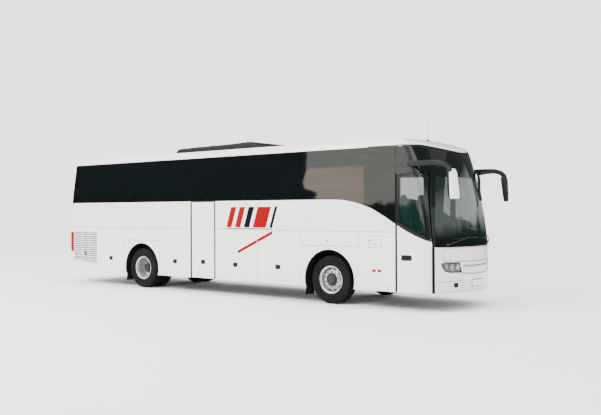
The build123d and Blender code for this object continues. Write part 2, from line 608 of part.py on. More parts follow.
# each mirror: (side, name, head's y0 and y1, how far its arm and head hang lower)
for s, name, y0, y1, low in ((-1, "right", -1325, -1115, 0), (1, "left", 1145, 1355, 70)):
    with BuildPart() as head:
        block(2810, 2995, y0, y1, 2215 - low / 2, 2815 - low)
        fillet(head.edges().filter_by(Axis.Z), 60)
        fillet(head.edges().group_by(Axis.Z)[-1], 40)
    with BuildPart() as mirror:
        y = -1275 if s < 0 else 1317
        with BuildSketch(side(y if s < 0 else 1317)):
            with BuildLine():
                Polyline(*[(x, z - low) for x, z in MIRROR_ARM], close=True)
            make_face()
        extrude(amount=42)
        add(head.part)
    put(mirror, "mirror_" + name)

# --------------------------------------------------------- axles and wheels
def ring_part(rows, axis, x, yc, s):
    """A turned part about an axle: rows of (r0, r1, offset0, offset1)."""
    with BuildPart() as p:
        with BuildSketch(across(x)):
            for r0, r1, o0, o1 in rows:
                with Locations((yc + s * (o0 + o1) / 2, AXLE_Z + (r0 + r1) / 2)):
                    Rectangle(abs(o1 - o0), r1 - r0)
        revolve(axis=axis)
    return p


# half section of a tyre: (radius, offset from its middle)
TYRE = [(290, 112), (306, 122), (350, 138), (405, 147.5), (455, 143), (500, 128), (521.4, 106)]


def tyre_part(axis, x, centres):
    with BuildPart() as p:
        with BuildSketch(across(x)):
            for yc in centres:
                with BuildLine():
                    Polyline(*([(yc - o, AXLE_Z + r) for r, o in TYRE] + [(yc + o, AXLE_Z + r) for r, o in reversed(TYRE)]), close=True)
                make_face()
        revolve(axis=axis)
    return p


# rows of (r0, r1, offset0, offset1), offsets outward from the tyre's middle
BARREL = [(264, 289.9, -112, 112), (264, 303, -134, -124), (264, 303, 124, 134), (264, 290, -134, 134)]
FRONT_RIM = BARREL + [(92, 270, 78, 92), (45.05, 96, -18, 92), (0, 96, 92, 150)]
RIM_STEP = REAR_OUT_Y - REAR_IN_Y
REAR_RIM = ([(r0, r1, o0 + RIM_STEP / 2, o1 + RIM_STEP / 2) for r0, r1, o0, o1 in BARREL]
            + [(r0, r1, o0 - RIM_STEP / 2, o1 - RIM_STEP / 2) for r0, r1, o0, o1 in BARREL]
            + [(256, 272, -44, 44), (60.05, 262, -14, 14), (60.05, 150, -60, 60), (0, 125, 60, 150)])
for s, name in ((-1, "right"), (1, "left")):
    put(tyre_part(AX, 0, [s * FRONT_Y]), "front_tyre_" + name)
    put(ring_part(FRONT_RIM, AX, 0, s * FRONT_Y, s), "front_rim_" + name)
    put(tyre_part(RX, RA, [s * REAR_OUT_Y, s * REAR_IN_Y]), "rear_tyres_" + name)
    put(ring_part(REAR_RIM, RX, RA, s * (REAR_OUT_Y + REAR_IN_Y) / 2, s), "rear_rims_" + name)

    with BuildPart() as knuckle:       # kingpin forks, web and spindle
        with Locations((FA, s * KING_Y, 424), (FA, s * KING_Y, 604)):
            Cylinder(48, 44, align=(Align.CENTER, Align.CENTER, Align.MIN))
        block(-45, 45, min(s * KING_Y, s * (KING_Y + 10)), max(s * KING_Y, s * (KING_Y + 10)), 424, 468)
        block(-40, 40, min(s * (KING_Y + 62), s * (KING_Y - 5)), max(s * (KING_Y + 62), s * (KING_Y - 5)), 424, 468)
        block(-40, 40, min(s * (KING_Y + 62), s * (KING_Y - 5)), max(s * (KING_Y + 62), s * (KING_Y - 5)), 604, 648)
        block(-40, 40, min(s * (KING_Y + 58), s * (KING_Y + 70)), max(s * (KING_Y + 58), s * (KING_Y + 70)), 424, 648)
        with BuildSketch(across(0)):
            with Locations((s * (KING_Y + 120), AXLE_Z + 22.5)):
                Rectangle(120, 45)
        revolve(axis=AX)
    put(knuckle, "knuckle_" + name)

with BuildPart() as front_axle:
    block(-60, 60, -860, 860, 380, 470)
    for s in (-1, 1):
        with Locations((FA, s * KING_Y, 474)):
            Cylinder(46, 124, align=(Align.CENTER, Align.CENTER, Align.MIN))
        block(-46, 46, min(s * 780, s * 920), max(s * 780, s * 920), 440, 598)
        block(-46, 46, min(s * 900, s * KING_Y), max(s * 900, s * KING_Y), 474, 598)
        block(-90, 90, min(s * 420, s * 500), max(s * 420, s * 500), 460, 640)
put(front_axle, "front_axle")

with BuildPart() as rear_axle:
    with BuildSketch(across(RA)):
        with Locations((0, AXLE_Z + 45)):
            Rectangle(1260, 90)
        with Locations((0, AXLE_Z + 30)):
            Rectangle(1830, 60)
        with Locations((0, AXLE_Z + 112)):
            Rectangle(240, 225)
    revolve(axis=RX)
    for s in (-1, 1):
        block(RA - 110, RA + 110, min(s * 470, s * 555), max(s * 470, s * 555), 590, 640)
put(rear_axle, "rear_axle")
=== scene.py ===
import json
import math
import random

import bmesh
import bpy
from mathutils import Matrix, Vector
from mathutils.bvhtree import BVHTree


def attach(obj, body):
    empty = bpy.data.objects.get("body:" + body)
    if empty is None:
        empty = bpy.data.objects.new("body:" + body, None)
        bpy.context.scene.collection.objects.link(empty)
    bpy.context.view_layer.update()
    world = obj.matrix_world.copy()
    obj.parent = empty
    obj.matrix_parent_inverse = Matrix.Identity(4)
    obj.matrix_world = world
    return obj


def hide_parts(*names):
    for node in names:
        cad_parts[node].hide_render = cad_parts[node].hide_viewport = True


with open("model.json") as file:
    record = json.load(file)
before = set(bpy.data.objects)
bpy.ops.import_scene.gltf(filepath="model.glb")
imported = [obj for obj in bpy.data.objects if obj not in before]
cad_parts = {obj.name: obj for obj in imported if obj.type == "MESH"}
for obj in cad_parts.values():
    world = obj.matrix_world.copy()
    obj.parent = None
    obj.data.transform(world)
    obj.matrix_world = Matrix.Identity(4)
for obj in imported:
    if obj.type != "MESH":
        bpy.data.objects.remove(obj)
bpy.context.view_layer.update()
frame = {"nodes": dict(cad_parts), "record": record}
NODES = frame["nodes"]
ROOT = "coach_body"
FA = 3.149          # front axle, in the row frame
RA = FA - 6.080     # rear axle
AZ = 0.5214         # wheel centre above the ground
HALF = 1.275        # half width
rng = random.Random(7)
BODY_OF = {n: b for b, ns in frame["record"]["behaviour"]["bodies"].items() for n in ns}


# ------------------------------------------------------------------ camera
def camera():
    cam = bpy.data.cameras.new("photo_camera")
    cam.sensor_fit = "HORIZONTAL"
    cam.sensor_width = 36.0
    cam.lens = 764.98 * 36.0 / 601.0
    cam.clip_start, cam.clip_end = 0.1, 400.0
    ob = bpy.data.objects.new("photo_camera", cam)
    bpy.context.scene.collection.objects.link(ob)
    yaw, pitch, roll = 0.6646, 0.0052, -0.0032
    fwd = Vector((-math.sin(yaw) * math.cos(pitch), math.cos(yaw) * math.cos(pitch), math.sin(pitch)))
    right = Vector((math.cos(yaw), math.sin(yaw), 0.0))
    up = right.cross(fwd)
    r2 = right * math.cos(roll) + up * math.sin(roll)
    u2 = up * math.cos(roll) - right * math.sin(roll)
    eye = (9.6291 + FA, -14.5464, 1.9887)
    m = Matrix.Identity(4)
    for i in range(3):
        m[i][0], m[i][1], m[i][2], m[i][3] = r2[i], u2[i], -fwd[i], eye[i]
    ob.matrix_world = m
    bpy.context.scene.camera = ob


camera()


# --------------------------------------------------------------- materials
def material(name):
    m = bpy.data.materials.new(name)
    m.use_nodes = True
    nt = m.node_tree
    return m, nt, nt.nodes["Principled BSDF"]


def link(nt, a, ai, b, bi):
    nt.links.new(a.outputs[ai], b.inputs[bi])


def coords(nt, scale=(1, 1, 1)):
    tc = nt.nodes.new("ShaderNodeTexCoord")
    mp = nt.nodes.new("ShaderNodeMapping")
    mp.inputs["Scale"].default_value = scale
    link(nt, tc, "Object", mp, "Vector")
    return mp


def noise(nt, vec, scale, detail=4.0, rough=0.55):
    n = nt.nodes.new("ShaderNodeTexNoise")
    n.inputs["Scale"].default_value = scale
    n.inputs["Detail"].default_value = detail
    n.inputs["Roughness"].default_value = rough
    link(nt, vec, "Vector", n, "Vector")
    return n


def ramp(nt, src, out, stops):
    r = nt.nodes.new("ShaderNodeValToRGB")
    while len(r.color_ramp.elements) > 1:
        r.color_ramp.elements.remove(r.color_ramp.elements[-1])
    for i, (p, c) in enumerate(stops):
        if i == 0:
            e = r.color_ramp.elements[0]
            e.position = p
        else:
            e = r.color_ramp.elements.new(p)
        e.color = (c[0], c[1], c[2], 1) if hasattr(c, "__len__") else (c, c, c, 1)
    link(nt, src, out, r, "Fac")
    return r


def mix(nt, fac, a, b):
    """A colour mix; each of a and b is (node, output) or a colour."""
    m = nt.nodes.new("ShaderNodeMix")
    m.data_type = "RGBA"
    nt.links.new(fac, m.inputs[0])
    for v, i in ((a, 6), (b, 7)):
        if isinstance(v, tuple) and len(v) == 3:
            m.inputs[i].default_value = (*v, 1)
        else:
            nt.links.new(v, m.inputs[i])
    return m.outputs[2]


def calc(nt, op, a, b=None, c=None):
    """A math node; a, b and c are sockets or numbers."""
    n = nt.nodes.new("ShaderNodeMath")
    n.operation = op
    for i, v in enumerate((a, b, c)):
        if v is None:
            continue
        if isinstance(v, (int, float)):
            n.inputs[i].default_value = v
        else:
            nt.links.new(v, n.inputs[i])
    return n.outputs[0]


def xyz(nt):
    tc = nt.nodes.new("ShaderNodeTexCoord")
    s = nt.nodes.new("ShaderNodeSeparateXYZ")
    link(nt, tc, "Object", s, "Vector")
    return s.outputs["X"], s.outputs["Y"], s.outputs["Z"]


def step(nt, v, edge, soft=0.002):
    """0 below edge, 1 above it, over a short way."""
    n = nt.nodes.new("ShaderNodeMapRange")
    n.inputs["From Min"].default_value = edge - soft
    n.inputs["From Max"].default_value = edge + soft
    nt.links.new(v, n.inputs["Value"])
    return n.outputs["Result"]


def bump(nt, p, src, out, strength, distance):
    b = nt.nodes.new("ShaderNodeBump")
    b.inputs["Strength"].default_value = strength
    b.inputs["Distance"].default_value = distance
    link(nt, src, out, b, "Height")
    link(nt, b, "Normal", p, "Normal")
    return b


def setp(p, **kw):
    for k, v in kw.items():
        p.inputs[k.replace("_", " ")].default_value = v


def lin(*rgb):
    return tuple(((c / 255.0) / 12.92 if c / 255.0 <= 0.04045 else ((c / 255.0 + 0.055) / 1.055) ** 2.4) for c in rgb)


def varied(name, color, color2, rough, scale=3.0, metallic=0.0, bump_scale=60.0, bump_strength=0.1, bump_dist=0.002,
           rough_var=0.08, coat=0.0, coat_rough=0.05, stretch=(1, 1, 1), spec=0.5, dirt=None):
    """Two close colours mixed by a soft noise, a roughness that varies, and a fine bump.
    dirt is (colour, z0, z1): road dust that fades out from z0 up to z1."""
    m, nt, p = material(name)
    v = coords(nt, stretch)
    n = noise(nt, v, scale)
    c = ramp(nt, n, "Fac", [(0.3, color), (0.7, color2)])
    out = c.outputs["Color"]
    if dirt:
        _, _, z = xyz(nt)
        nd = noise(nt, v, 5.0, 6.0, 0.65)
        low = nt.nodes.new("ShaderNodeMapRange")
        low.inputs["From Min"].default_value = dirt[2]
        low.inputs["From Max"].default_value = dirt[1]
        nt.links.new(z, low.inputs["Value"])
        amount = calc(nt, "MULTIPLY", low.outputs["Result"], calc(nt, "MULTIPLY", nd.outputs["Fac"], dirt[3] if len(dirt) > 3 else 0.5))
        out = mix(nt, amount, out, dirt[0])
    nt.links.new(out, p.inputs["Base Color"])
    n2 = noise(nt, v, scale * 4.3, 5.0)
    r = ramp(nt, n2, "Fac", [(0.25, max(0.02, rough - rough_var)), (0.75, min(1.0, rough + rough_var))])
    link(nt, r, "Color", p, "Roughness")
    n3 = noise(nt, v, bump_scale, 3.0)
    bump(nt, p, n3, "Fac", bump_strength, bump_dist)
    setp(p, Metallic=metallic, Coat_Weight=coat, Coat_Roughness=coat_rough, Specular_IOR_Level=spec)
    return m


DUST = lin(150, 144, 134)
M = {}
M["white"] = varied("coach_white_paint", lin(237, 235, 228), lin(233, 230, 224), 0.30, scale=0.7, bump_scale=2.2, bump_strength=0.04,
                    bump_dist=0.004, rough_var=0.05, coat=0.35, coat_rough=0.04, dirt=(DUST, 0.30, 0.75, 0.32))
# painted shade: the same white paint made darker for the nose's front faces, standing in for the shade on them
M["white_nose_painted_shade"] = varied("coach_white_painted_shade_nose", lin(222, 219, 213), lin(217, 214, 208), 0.32, scale=0.7, bump_scale=2.2, bump_strength=0.04,
                         bump_dist=0.004, rough_var=0.05, coat=0.35, coat_rough=0.04, dirt=(DUST, 0.30, 0.75, 0.40))
M["seam"] = varied("panel_gap_sealant", lin(60, 59, 57), lin(70, 69, 67), 0.65, scale=8, spec=0.1)
M["black_rubber"] = varied("black_rubber_seal", lin(13, 14, 15), lin(20, 21, 22), 0.65, scale=8, spec=0.15)
M["black_gloss"] = varied("black_gloss_panel", lin(11, 13, 14), lin(17, 19, 20), 0.20, scale=2, coat=0.1, spec=0.35, bump_scale=2.0, bump_strength=0.03,
                          bump_dist=0.003)
M["black_matt"] = varied("black_matt_plastic", lin(26, 27, 28), lin(36, 37, 38), 0.55, scale=6, bump_scale=220, bump_strength=0.2)
M["chassis"] = varied("chassis_paint", lin(26, 26, 27), lin(44, 42, 40), 0.7, scale=3)
M["liner"] = varied("grey_interior_trim", lin(120, 124, 128), lin(136, 139, 142), 0.7, scale=20, bump_scale=300, bump_strength=0.3)
M["tyre"] = varied("tyre_rubber", lin(11, 12, 12), lin(20, 20, 20), 0.85, scale=6, bump_scale=160, bump_strength=0.25, spec=0.12)
M["rim"] = varied("rim_silver_paint", lin(150, 152, 154), lin(186, 187, 189), 0.36, scale=9, metallic=0.55, bump_scale=90, bump_strength=0.08)
# painted shade: a darker copy of the rim paint for the inner twin wheel's disc, standing in for the shade it sits in
M["rim_shade"] = varied("rim_painted_shade_inner", lin(98, 100, 102), lin(132, 133, 134), 0.45, scale=9, metallic=0.5, bump_scale=90, bump_strength=0.12)
M["hub"] = varied("hub_dark_iron", lin(34, 34, 36), lin(56, 55, 54), 0.5, scale=12, metallic=0.5)
M["nut"] = varied("wheel_nut_steel", lin(120, 120, 120), lin(150, 148, 146), 0.4, scale=30, metallic=0.8)
M["iron"] = varied("forged_iron", lin(38, 38, 39), lin(60, 57, 54), 0.62, scale=10, metallic=0.6)
M["chrome"] = varied("bright_chrome", lin(205, 207, 210), lin(222, 224, 227), 0.12, scale=5, metallic=1.0)
M["mirror"] = varied("mirror_glass", lin(196, 201, 206), lin(204, 209, 212), 0.03, scale=5, metallic=1.0, rough_var=0.01, bump_strength=0.0)
M["red"] = varied("red_film", lin(128, 0, 6), lin(134, 1, 8), 0.45, scale=2, spec=0.05)
M["ink"] = varied("black_film", lin(9, 12, 12), lin(12, 15, 15), 0.5, scale=2, spec=0.05)
M["red_lens"] = varied("red_lamp_lens", lin(150, 4, 16), lin(166, 8, 22), 0.30, scale=20, coat=0.0, spec=0.12, bump_scale=140, bump_strength=0.3)
M["amber_lens"] = varied("amber_lamp_lens", lin(226, 112, 14), lin(240, 130, 24), 0.12, scale=20, coat=0.6, bump_scale=140, bump_strength=0.3)
M["white_lens"] = varied("white_lamp_lens", lin(206, 210, 214), lin(228, 230, 233), 0.12, scale=20, coat=0.6, bump_scale=140, bump_strength=0.3)
M["grey_plastic"] = varied("grey_plastic", lin(92, 94, 96), lin(110, 111, 112), 0.45, scale=6, bump_scale=200, bump_strength=0.2)
M["silver_trim"] = varied("silver_trim", lin(150, 150, 150), lin(176, 176, 176), 0.3, scale=6, metallic=0.7)
M["mirror_arm"] = varied("mirror_arm_plastic", lin(22, 25, 26), lin(33, 36, 36), 0.55, scale=5, spec=0.15, bump_scale=200, bump_strength=0.1)
M["dash"] = varied("dash_plastic", lin(40, 42, 45), lin(54, 56, 59), 0.6, scale=10, bump_scale=300, bump_strength=0.3)
M["engine"] = varied("engine_iron", lin(70, 72, 74), lin(104, 102, 98), 0.6, scale=9, metallic=0.5)
M["carpet"] = varied("floor_carpet", lin(56, 60, 68), lin(72, 76, 86), 0.95, scale=40, bump_scale=400, bump_strength=0.5)
M["hold_mat"] = varied("hold_floor_mat", lin(70, 70, 70), lin(88, 87, 85), 0.85, scale=14, bump_scale=240, bump_strength=0.4)
M["headliner"] = varied("headliner_felt", lin(186, 186, 182), lin(202, 202, 198), 0.95, scale=30, bump_scale=420, bump_strength=0.3)
M["grille_shade"] = varied("grille_shadow_panel", lin(40, 40, 39), lin(52, 51, 50), 0.7, scale=6, spec=0.1)
M["plate"] = varied("blank_plate", lin(222, 222, 216), lin(230, 230, 226), 0.35, scale=12, bump_scale=300, bump_strength=0.1)
M["ac_shell"] = varied("roof_unit_plastic", lin(17, 20, 22), lin(26, 29, 31), 0.65, scale=4, bump_scale=240, bump_strength=0.2, spec=0.2)


def fabric(name, c1, c2, weave=900.0, pile=0.25):
    """Woven seat cloth: fine crossed threads, flecks of a second colour, and a sheen."""
    m, nt, p = material(name)
    v = coords(nt)
    n = noise(nt, v, 38.0, 3.0)
    c = ramp(nt, n, "Fac", [(0.46, c1), (0.56, c2)])
    fleck = noise(nt, v, 7.0, 2.0)
    sh = ramp(nt, fleck, "Fac", [(0.3, 0.82), (0.7, 1.0)])
    mu = nt.nodes.new("ShaderNodeMix")
    mu.data_type = "RGBA"
    mu.blend_type = "MULTIPLY"
    mu.inputs[0].default_value = 1.0
    nt.links.new(c.outputs["Color"], mu.inputs[6])
    nt.links.new(sh.outputs["Color"], mu.inputs[7])
    nt.links.new(mu.outputs[2], p.inputs["Base Color"])
    w = []
    for axis in ("Y", "Z"):
        wv = nt.nodes.new("ShaderNodeTexWave")
        wv.bands_direction = axis
        wv.inputs["Scale"].default_value = weave / 6.0
        wv.inputs["Distortion"].default_value = 0.6
        link(nt, v, "Vector", wv, "Vector")
        w.append(wv.outputs["Fac"])
    h = calc(nt, "MULTIPLY", w[0], w[1])
    b = nt.nodes.new("ShaderNodeBump")
    b.inputs["Strength"].default_value = pile
    b.inputs["Distance"].default_value = 0.0015
    nt.links.new(h, b.inputs["Height"])
    link(nt, b, "Normal", p, "Normal")
    r = ramp(nt, n, "Fac", [(0.3, 0.85), (0.7, 0.95)])
    link(nt, r, "Color", p, "Roughness")
    setp(p, Sheen_Weight=0.35, Specular_IOR_Level=0.2)
    return m


M["seat_cloth"] = fabric("seat_cloth", lin(34, 62, 66), lin(48, 80, 84))
M["seat_side"] = fabric("seat_side_cloth", lin(50, 56, 62), lin(62, 68, 74))
M["headrest"] = fabric("headrest_cloth", lin(96, 116, 114), lin(112, 130, 128))
M["curtain"] = fabric("curtain_cloth", lin(92, 100, 104), lin(106, 112, 116), pile=0.4)


def glass_mat(name, color, alpha, rough=0.02, spec=0.5, masks=None):
    """Tinted glass. masks(nt) gives a 0..1 socket where the pane is black printed."""
    m, nt, p = material(name)
    v = coords(nt)
    n = noise(nt, v, 1.3)
    c = ramp(nt, n, "Fac", [(0.3, color), (0.7, tuple(min(1, x * 1.2) for x in color))])
    out = c.outputs["Color"]
    if masks:
        k = masks(nt)
        out = mix(nt, k, out, lin(11, 12, 13))
        a = calc(nt, "MULTIPLY_ADD", k, 1.0 - alpha, alpha)
        nt.links.new(a, p.inputs["Alpha"])
    else:
        p.inputs["Alpha"].default_value = alpha
    nt.links.new(out, p.inputs["Base Color"])
    n2 = noise(nt, v, 9.0)
    r = ramp(nt, n2, "Fac", [(0.3, rough), (0.7, rough + 0.02)])
    link(nt, r, "Color", p, "Roughness")
    n3 = noise(nt, v, 0.7, 1.0)
    bump(nt, p, n3, "Fac", 0.03, 0.02)
    setp(p, Specular_IOR_Level=spec)
    return m


def belt_mask(nt, dz=0.0, soft=0.002):
    """1 above the belt line, 0 below it: flat, an arc, a line and an arc down to the nose."""
    x, _, z = xyz(nt)
    xf = calc(nt, "SUBTRACT", x, FA)
    cu = nt.nodes.new("ShaderNodeFloatCurve")
    pts = [(-1.0, BELT(-1.0))] + [(X / 100.0, BELT(X / 100.0)) for X in range(0, 261, 10)] + [(3.0, BELT(2.6))]
    lo, hi = -1.0, 3.0
    cmap = cu.mapping
    cmap.use_clip = False
    c = cmap.curves[0]
    while len(c.points) > 2:
        c.points.remove(c.points[-1])
    norm = [((X - lo) / (hi - lo), z0 / 4.0) for X, z0 in pts]
    c.points[0].location = norm[0]
    c.points[1].location = norm[-1]
    for q in norm[1:-1]:
        c.points.new(*q)
    for q in c.points:
        q.handle_type = "VECTOR"
    cmap.update()
    t = nt.nodes.new("ShaderNodeMapRange")
    t.inputs["From Min"].default_value = lo
    t.inputs["From Max"].default_value = hi
    nt.links.new(xf, t.inputs["Value"])
    nt.links.new(t.outputs["Result"], cu.inputs["Value"])
    zb = calc(nt, "MULTIPLY_ADD", cu.outputs["Value"], 4.0, dz)
    d = calc(nt, "SUBTRACT", z, zb)
    return step(nt, d, 0.0, soft)


def BELT(X):
    """Height of the belt line at X from the front axle."""
    pts = [(-20, 2.248), (0.10, 2.248), (0.35, 2.235), (0.60, 2.197), (0.85, 2.133), (1.10, 2.043), (1.395, 1.886), (1.70, 1.701),
           (1.90, 1.592), (2.10, 1.500), (2.30, 1.424), (2.55, 1.356), (3.2, 1.30)]
    for (x0, z0), (x1, z1) in zip(pts, pts[1:]):
        if X <= x1:
            return z0 + (z1 - z0) * (X - x0) / (x1 - x0)
    return pts[-1][1]


def screen_black(nt):
    """Black print of the windscreen: a band at the foot, one at the head, and both edges."""
    x, y, z = xyz(nt)
    foot = calc(nt, "SUBTRACT", 1.0, step(nt, z, 1.560, 0.19))
    head = step(nt, z, 2.672, 0.006)
    ay = calc(nt, "ABSOLUTE", y)
    w = calc(nt, "MULTIPLY_ADD", z, -0.06, 1.20)      # the edge band leans in as it rises
    side_band = step(nt, calc(nt, "SUBTRACT", ay, w), 0.0, 0.004)
    return calc(nt, "MAXIMUM", calc(nt, "MAXIMUM", foot, head), side_band)


M["dark_glass"] = glass_mat("dark_side_glass", lin(9, 13, 14), 0.93, spec=0.75)


def left_black(nt):
    """Dark film on the left panes, apart from the clear one beside the driver."""
    x, y, z = xyz(nt)
    xf = calc(nt, "SUBTRACT", x, FA)
    clear = calc(nt, "MULTIPLY", step(nt, xf, -0.58, 0.004), calc(nt, "SUBTRACT", 1.0, step(nt, xf, 2.22, 0.004)))
    clear = calc(nt, "MULTIPLY", clear, calc(nt, "SUBTRACT", 1.0, step(nt, z, 2.90, 0.004)))
    clear = calc(nt, "MULTIPLY", clear, belt_mask(nt, 0.03, 0.003))
    return calc(nt, "SUBTRACT", 1.0, clear)


M["left_glass"] = glass_mat("left_side_glass", lin(30, 52, 48), 0.26, spec=0.75, masks=left_black)
M["rear_glass"] = glass_mat("dark_rear_glass", lin(9, 13, 14), 0.93, spec=0.6)
M["screen"] = glass_mat("windscreen_glass", lin(28, 38, 35), 0.62, spec=1.0, masks=screen_black)
M["door_glass"] = glass_mat("door_glass", lin(17, 38, 35), 0.42, spec=1.0)
M["lamp_glass"] = glass_mat("lamp_cover_glass", lin(96, 98, 99), 0.34, spec=0.5)


def two_tone(name):
    """White below the belt line and black above it, one part."""
    m, nt, p = material(name)
    v = coords(nt)
    n = noise(nt, v, 0.7)
    c = ramp(nt, n, "Fac", [(0.3, lin(233, 231, 226)), (0.7, lin(228, 226, 221))])
    k = belt_mask(nt, -0.004)
    nt.links.new(mix(nt, k, c.outputs["Color"], lin(16, 18, 19)), p.inputs["Base Color"])
    n2 = noise(nt, v, 4.0)
    r = ramp(nt, n2, "Fac", [(0.25, 0.25), (0.75, 0.35)])
    link(nt, r, "Color", p, "Roughness")
    n3 = noise(nt, v, 2.2)
    bump(nt, p, n3, "Fac", 0.04, 0.004)
    setp(p, Coat_Weight=0.35, Coat_Roughness=0.04)
    return m


M["door_paint"] = two_tone("door_two_tone_paint")


def roof_two_tone(name):
    """White roof paint, and the black print over the windscreen, parted by a line that dips to the middle of the nose."""
    m, nt, p = material(name)
    v = coords(nt)
    n = noise(nt, v, 0.7)
    c = ramp(nt, n, "Fac", [(0.3, lin(233, 231, 226)), (0.7, lin(228, 226, 221))])
    x, y, z = xyz(nt)
    xf = calc(nt, "SUBTRACT", x, FA)
    ay = calc(nt, "ABSOLUTE", y)
    # height of the line: level along the side, lower towards the middle of the nose
    zc = calc(nt, "MULTIPLY_ADD", calc(nt, "POWER", calc(nt, "MINIMUM", calc(nt, "DIVIDE", ay, 1.0), 1.0), 1.6), 0.120, ROOF_LINE)
    drop = calc(nt, "SUBTRACT", 1.0, step(nt, calc(nt, "SUBTRACT", z, zc), 0.0, 0.003))
    k = calc(nt, "MULTIPLY", calc(nt, "GREATER_THAN", xf, 1.0), drop)
    nt.links.new(mix(nt, k, c.outputs["Color"], lin(15, 18, 19)), p.inputs["Base Color"])
    n2 = noise(nt, v, 4.0)
    r = ramp(nt, n2, "Fac", [(0.25, 0.25), (0.75, 0.35)])
    link(nt, r, "Color", p, "Roughness")
    n3 = noise(nt, v, 2.2)
    bump(nt, p, n3, "Fac", 0.04, 0.004)
    setp(p, Coat_Weight=0.35, Coat_Roughness=0.04)
    return m


ROOF_LINE = 3.205
M["roof_paint"] = roof_two_tone("roof_two_tone_paint")


# ------------------------------------------------------------- mesh helpers
class Piece:
    """One named object, built up from rounded boxes, turned rings, tubes and grids."""

    def __init__(self, name, *mats):
        self.bm, self.name, self.mats = bmesh.new(), name, mats

    def merge(self, tmp, m=0, matrix=None, recalc=True):
        if recalc:
            bmesh.ops.recalc_face_normals(tmp, faces=tmp.faces)
        for f in tmp.faces:
            f.material_index = m
            f.smooth = True
        me = bpy.data.meshes.new("tmp")
        tmp.to_mesh(me)
        tmp.free()
        if matrix is not None:
            me.transform(matrix)
        self.bm.from_mesh(me)
        bpy.data.meshes.remove(me)

    def box(self, lo, hi, m=0, r=0.0, seg=2, matrix=None, taper=None):
        lo, hi = Vector([min(a, b) for a, b in zip(lo, hi)]), Vector([max(a, b) for a, b in zip(lo, hi)])
        tmp = bmesh.new()
        size = hi - lo
        bmesh.ops.create_cube(tmp, size=1.0, matrix=Matrix.Translation((lo + hi) / 2) @ Matrix.Diagonal((*size, 1)))
        if taper:
            taper(tmp)
        if r > 0:
            bmesh.ops.bevel(tmp, geom=list(tmp.edges), offset=min(r, min(size) * 0.49), segments=seg, profile=0.5, affect="EDGES")
        self.merge(tmp, m, matrix)

    def grid(self, rows, m=0, close_u=False, close_v=False, caps=False, matrix=None, recalc=True):
        """rows of points: u goes along the rows' list, v along each row."""
        tmp = bmesh.new()
        vs = [[tmp.verts.new(p) for p in row] for row in rows]
        nu, nv = len(vs), len(vs[0])
        for i in range(nu if close_u else nu - 1):
            for j in range(nv if close_v else nv - 1):
                a, b = vs[i], vs[(i + 1) % nu]
                q = [a[j], b[j], b[(j + 1) % nv], a[(j + 1) % nv]]
                q = [v for k, v in enumerate(q) if v not in q[:k]]
                if len(q) > 2:
                    tmp.faces.new(q)
        if caps:
            tmp.faces.new(vs[0])
            tmp.faces.new(list(reversed(vs[-1])))
        bmesh.ops.remove_doubles(tmp, verts=tmp.verts, dist=1e-6)
        self.merge(tmp, m, matrix, recalc)

    def lathe(self, profile, centre, s=1.0, seg=96, m=0, wobble=None, closed=False):
        """profile rows are (radius, offset); the axis runs along Y through centre, s gives outward."""
        cx, cy, cz = centre
        rows = []
        for i in range(seg):
            a = 2 * math.pi * i / seg
            row = []
            for j, (r, o) in enumerate(profile):
                rr = r + (wobble(i, j) if wobble else 0.0)
                row.append(Vector((cx + rr * math.cos(a), cy + s * o, cz + rr * math.sin(a))))
            rows.append(row)
        self.grid(rows, m, close_u=True, close_v=closed)

    def tube(self, pts, radius, seg=12, m=0, flat=1.0, up=Vector((0, 0, 1)), cap=True):
        """A round or flat-sided tube along points; radius may be a list."""
        pts = [Vector(p) for p in pts]
        rad = radius if hasattr(radius, "__len__") else [radius] * len(pts)
        rows = []
        for i, p in enumerate(pts):
            t = (pts[min(i + 1, len(pts) - 1)] - pts[max(i - 1, 0)]).normalized()
            u = up - t * up.dot(t)
            u = u.normalized() if u.length > 1e-4 else Vector((1, 0, 0))
            w = t.cross(u)
            rows.append([p + u * (rad[i] * math.sin(2 * math.pi * k / seg)) + w * (rad[i] * flat * math.cos(2 * math.pi * k / seg)) for k in range(seg)])
        self.grid(rows, m, close_v=True, caps=cap)

    def ribbon(self, samples, width, m=0, lift=0.0008, depth=0.004, closed=False):
        """A strip on a surface: samples are (point, normal), width across it."""
        rows = []
        n = len(samples)
        for i, (p, nr) in enumerate(samples):
            a = samples[(i + 1) % n if closed else min(i + 1, n - 1)][0]
            b = samples[(i - 1) % n if closed else max(i - 1, 0)][0]
            t = (a - b).normalized()
            w = t.cross(nr).normalized() * (width / 2)
            e = w * 0.86
            rows.append([p - w - nr * depth, p - w + nr * lift * 0.3, p - e + nr * lift, p + e + nr * lift, p + w + nr * lift * 0.3, p + w - nr * depth])
        self.grid(rows, m, close_u=closed, close_v=True, caps=not closed)

    def patch(self, fn, nu, nv, m=0, lift=0.001, depth=0.003):
        """A thin film or lens on a surface: fn(u, v) gives (point, normal) for u, v in 0..1."""
        top, low = [], []
        for i in range(nu + 1):
            a, b = [], []
            for j in range(nv + 1):
                p, nr = fn(i / nu, j / nv)
                a.append(p + nr * lift)
                b.append(p - nr * depth)
            top.append(a)
            low.append(b)
        rows = [[low[i][0]] + top[i] + [low[i][-1]] for i in range(nu + 1)]
        rows = [[low[0][0]] + low[0] + [low[0][-1]]] + rows + [[low[-1][0]] + low[-1] + [low[-1][-1]]]
        self.grid(rows, m)

    def done(self, body=ROOT, angle=32.0, replaces=(), subsurf=0, weld=False):
        me = bpy.data.meshes.new(self.name)
        if weld:
            bmesh.ops.remove_doubles(self.bm, verts=self.bm.verts, dist=1e-5)
        self.bm.to_mesh(me)
        self.bm.free()
        for mt in self.mats:
            me.materials.append(M[mt])
        me.set_sharp_from_angle(angle=math.radians(angle))
        ob = bpy.data.objects.new(self.name, me)
        bpy.context.scene.collection.objects.link(ob)
        if subsurf:
            md = ob.modifiers.new("sub", "SUBSURF")
            md.levels = md.render_levels = subsurf
        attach(ob, body)
        if replaces:
            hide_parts(*replaces)
        return ob


